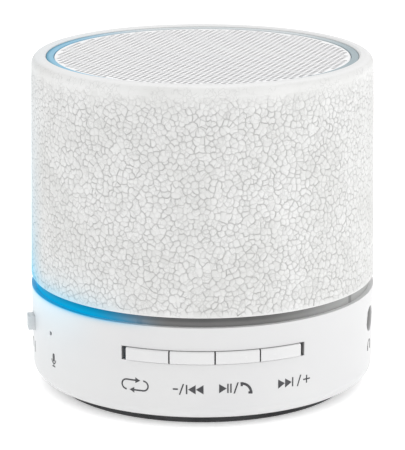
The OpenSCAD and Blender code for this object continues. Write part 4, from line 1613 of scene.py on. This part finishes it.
@dataclass
class Legend:
    """One printed symbol, wrapped on the base as a thin film of ink. Sizes in mm."""

    mark: Mark
    turn: float
    height: float
    low_r: float = 29.85
    top_r: float = 30.0
    low_z: float = 3.9
    top_z: float = 17.7
    film: float = 0.02
    slice: float = 0.35
    parts: list[list[Flat]] = field(default_factory=list)

    def box(self, x0: float, x1: float, y0: float, y1: float) -> None:
        """Adds a rectangle."""
        self.parts.append([(x0, y0), (x1, y0), (x1, y1), (x0, y1)])

    def wedge(self, base: float, tip: float, y0: float, y1: float) -> None:
        """Adds a triangle with its base on one x and its tip on another."""
        corners = [(base, y0), (tip, (y0 + y1) / 2), (base, y1)]
        self.parts.append(corners if tip > base else corners[::-1])

    def slash(self, x0: float, x1: float, y0: float, y1: float, width: float) -> None:
        """Adds a slanting stroke."""
        self.parts.append([(x0, y0), (x0 + width, y0), (x1 + width, y1), (x1, y1)])

    def bow(self, middle: Flat, radius: float, start: float, end: float, width: float,
            steps: int = 12) -> None:
        """Adds a curved stroke.

        Args:
            middle: The curve's centre.
            radius: Radius of the stroke's middle line.
            start: First angle in degrees.
            end: Last angle in degrees.
            width: The stroke's width.
            steps: Number of pieces that it is cut into.
        """
        inner = arc(middle, radius - width / 2, start, end, steps)
        outer = arc(middle, radius + width / 2, start, end, steps)
        for k in range(steps):
            self.parts.append([outer[k], outer[k + 1], inner[k + 1], inner[k]])

    def draw(self) -> None:
        """Fills parts with the symbol's shapes, about its own centre."""
        pen, thin = 0.26, 0.24
        if self.mark is Mark.SOURCE:
            for side, first in ((-1, 90.0), (1, -90.0)):
                self.bow((side * 1.5, 0.0), 0.85, first, first + 180.0, pen)
            self.box(-1.5, 0.1, 0.72, 0.98)
            self.box(-0.1, 1.5, -0.98, -0.72)
            self.wedge(0.1, 0.95, 0.35, 1.35)
            self.wedge(-0.1, -0.95, -1.35, -0.35)
        elif self.mark is Mark.BACK:
            self.box(-2.6, -1.75, -0.12, 0.14)
            self.slash(-1.6, -0.95, -0.95, 0.95, thin)
            self.box(-0.42, -0.18, -0.8, 0.8)
            self.wedge(1.2, -0.05, -0.8, 0.8)
            self.wedge(2.5, 1.25, -0.8, 0.8)
        elif self.mark is Mark.PLAY:
            self.wedge(-2.85, -1.6, -0.8, 0.8)
            self.box(-1.5, -1.26, -0.8, 0.8)
            self.box(-1.0, -0.76, -0.8, 0.8)
            self.slash(-0.45, 0.2, -0.95, 0.95, thin)
            self.bow((0.85, -1.0), 1.7, 10.0, 78.0, 0.42, 14)
            self.bow((0.85, -1.0), 1.6, 78.0, 94.0, 0.7, 6)
            self.bow((0.85, -1.0), 1.6, -6.0, 10.0, 0.7, 6)
        elif self.mark is Mark.NEXT:
            self.wedge(-3.15, -1.9, -0.8, 0.8)
            self.wedge(-1.85, -0.6, -0.8, 0.8)
            self.box(-0.5, -0.26, -0.8, 0.8)
            self.slash(0.45, 1.1, -0.95, 0.95, thin)
            self.box(1.75, 3.15, -0.12, 0.12)
            self.box(2.33, 2.57, -0.7, -0.12)
            self.box(2.33, 2.57, 0.12, 0.7)
        elif self.mark is Mark.MICROPHONE:
            self.box(-0.34, 0.34, 0.05, 0.85)
            self.bow((0.0, 0.85), 0.17, 0.0, 180.0, 0.34, 8)
            self.bow((0.0, 0.05), 0.17, 180.0, 360.0, 0.34, 8)
            self.bow((0.0, 0.1), 0.68, 180.0, 360.0, 0.2, 12)
            self.box(-0.1, 0.1, -1.05, -0.68)
            self.box(-0.5, 0.5, -1.2, -1.02)
        elif self.mark is Mark.SWITCH:
            self.box(1.3, 1.3 + pen, -1.0, 1.0)
            self.bow((-1.5, 0.0), 0.86, 0.0, 360.0, thin, 24)
        else:
            self.bow((0.0, 0.0), 0.95, 0.0, 180.0, 0.22, 14)
            for side in (-1, 1):
                self.box(side * 0.92 - 0.24, side * 0.92 + 0.24, -0.85, 0.05)

    def sliced(self) -> Iterable[list[Flat]]:
        """The parts cut into narrow upright slices, so that they wrap round the base.

        Yields:
            The corners of each slice.
        """
        for part in self.parts:
            low, high = min(p[0] for p in part), max(p[0] for p in part)
            first, last = math.floor(low / self.slice), math.ceil(high / self.slice)
            for k in range(first, last):
                left, right = k * self.slice, (k + 1) * self.slice
                shape = clip(part, lambda x, y: left - x, 1e-7)
                shape = clip(shape, lambda x, y: x - right, 1e-7)
                if len(shape) > 2:
                    yield shape

    def build(self) -> Piece:
        """Makes the ink film with its thin edge.

        Returns:
            The new piece.
        """
        self.draw()
        flat = bmesh.new()
        for shape in self.sliced():
            flat.faces.new([flat.verts.new((x, y, 0.0)) for x, y in shape])
        bmesh.ops.remove_doubles(flat, verts=flat.verts, dist=2e-3)
        bmesh.ops.dissolve_degenerate(flat, dist=1e-3, edges=flat.edges)
        draft = Draft()
        numbers: dict[int, tuple[int, int]] = {}
        for vert in flat.verts:
            z = self.height + vert.co.y
            radius = lerp(self.low_r, self.top_r, (z - self.low_z) / (self.top_z - self.low_z))
            angle = self.turn + math.degrees(vert.co.x / radius)
            numbers[vert.index] = (draft.point(spot(radius + self.film, angle, z)),
                                   draft.point(spot(radius - self.film, angle, z)))
        for face in flat.faces:
            loop = [v.index for v in face.verts]
            draft.face(*[numbers[n][0] for n in loop])
            draft.face(*[numbers[n][1] for n in reversed(loop)])
        for edge in flat.edges:
            if len(edge.link_faces) == 1:
                verts = [v.index for v in edge.verts]
                loop = [v.index for v in edge.link_faces[0].verts]
                a, b = verts if loop[loop.index(verts[0]) - len(loop) + 1] == verts[1] else verts[::-1]
                draft.face(numbers[b][0], numbers[a][0], numbers[a][1], numbers[b][1])
        flat.free()
        return draft.piece(self.mark.value, INK, flat_turn=60.0)


@dataclass
class PortTongue:
    """Tongue and contacts inside the charging socket. Sizes in mm."""

    turn: float = 104.0
    face_r: float = 28.8
    depth: float = 4.2
    middle: float = 11.4
    width: float = 3.7
    thick: float = 0.55
    set_back: float = 0.9
    chamfer: float = 0.12
    contacts: int = 5
    contact_w: float = 0.36
    contact_pitch: float = 0.65
    contact_rise: float = 0.06

    def bar(self, draft: Draft, reach: Flat, side: Flat, level: Flat, cut: float) -> None:
        """Adds a bar along the port with its front corners cut.

        Args:
            draft: The mesh so far.
            reach: Inner and outer radius.
            side: Left and right side.
            level: Low and high level.
            cut: Size of the front chamfer.
        """
        rings = []
        for radius, less in ((reach[0], 0.0), (reach[1] - cut, 0.0), (reach[1], cut)):
            corners = ((side[0] + less, level[0] + less), (side[1] - less, level[0] + less),
                       (side[1] - less, level[1] - less), (side[0] + less, level[1] - less))
            ring = []
            for y, z in corners:
                out, across = spot(1.0, self.turn, 0.0), spot(1.0, self.turn + 90.0, 0.0)
                ring.append(draft.point(out * radius + across * y + Vector((0.0, 0.0, z * MM))))
            rings.append(ring)
        draft.face(*rings[0])
        draft.strip(rings[1], rings[0])
        draft.strip(rings[2], rings[1])
        draft.face(*reversed(rings[2]))

    def build(self) -> list[Piece]:
        """Makes the tongue and its contacts.

        Returns:
            The new pieces.
        """
        back, front = self.face_r - self.depth, self.face_r - self.set_back
        low, high = self.middle + 0.1, self.middle + 0.1 + self.thick
        tongue, contacts = Draft(), Draft()
        self.bar(tongue, (back, front), (-self.width / 2, self.width / 2), (low, high), self.chamfer)
        for k in range(self.contacts):
            x = (k - (self.contacts - 1) / 2) * self.contact_pitch
            self.bar(contacts, (back, front - 0.3), (x - self.contact_w / 2, x + self.contact_w / 2),
                     (low - self.contact_rise, low + 0.02), 0.02)
        return [tongue.piece("usb_tongue", COMPOUND, flat_turn=20.0),
                contacts.piece("usb_contacts", GILT, flat_turn=20.0)]


@dataclass
class CadDress:
    """Finishes for the CAD nodes that show as they are."""

    finishes: dict[str, Finish] = field(default_factory=lambda: {
        "light_guide": CLEAR, "grille_cloth": SCRIM, "chamber": PLASTIC, "driver_basket": STEEL,
        "driver_magnet": FERRITE, "driver_top_plate": STEEL, "driver_yoke": STEEL, "driver_gasket": CARD,
        "driver_terminals": LAMINATE, "driver_screws": STEEL, "voice_coil": COPPER, "spider": SPIDER,
        "cone": PAPER, "dust_cap": PAPER, "surround": RUBBER, "base_shell": GLOSS, "rubber_foot": RUBBER,
        "case_screws": STEEL, "main_board": BOARD, "board_screws": STEEL, "bluetooth_chip": COMPOUND,
        "amplifier_chip": COMPOUND, "crystal": STEEL, "capacitors": CAN, "led_board": LAMP_BOARD,
        "leds": LAMP, "battery": POUCH, "battery_pad": FOAM, "speaker_leads": WIRE, "battery_leads": WIRE,
        "led_leads": PLASTIC, "aux_jack": PLASTIC, "usb_socket": STEEL, "card_socket": STEEL,
        "microphone": CAN, "microphone_boot": RUBBER, "slide_switch": STEEL, "switch_lever": COMPOUND,
        "switch_knob": KNOB_IN_SHADE, "tact_switches": STEEL})
    keys: tuple[str, ...] = ("mode", "previous", "play", "next")

    def dress(self) -> None:
        """Puts a finish on every CAD node that shows."""
        for key in self.keys:
            self.finishes[key + "_key"] = KEY
            self.finishes[key + "_plunger"] = COMPOUND
        for name, finish in self.finishes.items():
            finish.dress(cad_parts[name])
            LOG.info("%s: %s", name, finish.name)


@dataclass(frozen=True)
class SoftLamp:
    """A rectangular lamp: its place, the point it faces, its width and height, and its power in watts."""

    place: Triple
    aim: Triple
    size: Flat
    power: float


@dataclass
class Studio:
    """Floor, light and camera. Sizes in metres and degrees."""

    floor_size: float = 3.0
    floor_steps: int = 12
    camera_reach: float = 0.40614
    camera_height: float = 0.13509
    camera_turn: float = -3.93
    camera_pitch: float = 14.86
    lens: float = 192.1
    sensor: float = 36.0
    world: float = 0.8
    lamps: dict[str, SoftLamp] = field(default_factory=lambda: {
        "overhead": SoftLamp((0.0, 0.05, 0.9), (0.0, 0.0, 0.0), (1.2, 1.2), 2.6),
        "right": SoftLamp((0.9, -0.35, 0.35), (0.0, 0.0, 0.03), (0.7, 0.9), 3.2),
        "left": SoftLamp((-0.9, -0.35, 0.35), (0.0, 0.0, 0.03), (0.7, 0.9), 1.5)})

    def floor(self) -> None:
        """Lays the floor."""
        draft = Draft()
        steps, half = self.floor_steps, self.floor_size / 2
        grid = [[draft.point(Vector((lerp(-half, half, i / steps), lerp(-half, half, j / steps), 0.0)))
                 for i in range(steps + 1)] for j in range(steps + 1)]
        for j in range(steps):
            for i in range(steps):
                draft.face(grid[j][i], grid[j][i + 1], grid[j + 1][i + 1], grid[j + 1][i])
        mesh = bpy.data.meshes.new("floor")
        mesh.from_pydata(draft.points, [], draft.faces)
        made = bpy.data.objects.new("floor", mesh)
        bpy.context.scene.collection.objects.link(made)
        FLOOR.dress(made)

    def lamp(self, name: str, given: SoftLamp) -> None:
        """Adds a lamp.

        Args:
            name: The lamp's name.
            given: The lamp's place, size and power.
        """
        light = bpy.data.lights.new(name, "AREA")
        light.shape, light.energy = "RECTANGLE", given.power
        light.size, light.size_y = given.size
        made = bpy.data.objects.new(name, light)
        made.location = given.place
        made.rotation_euler = (Vector(given.aim) - Vector(given.place)).to_track_quat("-Z", "Y").to_euler()
        bpy.context.scene.collection.objects.link(made)

    def camera(self) -> None:
        """Adds the camera and makes it the scene's."""
        lens = bpy.data.cameras.new("camera")
        lens.lens, lens.sensor_width, lens.sensor_fit = self.lens, self.sensor, "AUTO"
        lens.clip_start, lens.clip_end = 0.01, 20.0
        made = bpy.data.objects.new("camera", lens)
        turn = math.radians(self.camera_turn)
        made.location = (self.camera_reach * math.sin(turn), -self.camera_reach * math.cos(turn),
                         self.camera_height)
        made.rotation_euler = (math.radians(90.0 - self.camera_pitch), 0.0, turn)
        bpy.context.scene.collection.objects.link(made)
        bpy.context.scene.camera = made

    def build(self) -> None:
        """Makes the floor, the soft light and the camera."""
        self.floor()
        scene = bpy.context.scene
        scene.view_settings.view_transform = "Standard"
        world = bpy.data.worlds.new("studio")
        scene.world = world
        world.use_nodes = True
        sky = world.node_tree.nodes["Background"]
        sky.inputs[0].default_value, sky.inputs[1].default_value = (1.0, 1.0, 1.0, 1.0), self.world
        for name, given in self.lamps.items():
            self.lamp(name, given)
        self.camera()


def main() -> None:
    """Builds and dresses the speaker, its studio and the camera."""
    logging.basicConfig(level=logging.INFO, format="%(name)s: %(message)s")
    CadDress().dress()
    CrackleSleeve().build()
    PerforatedGrille().build()
    for mark, (turn, height) in LEGEND_PLACES.items():
        Legend(mark, turn, height).build()
    PortTongue().build()
    Studio().build()


if __name__ == "__main__":
    main()
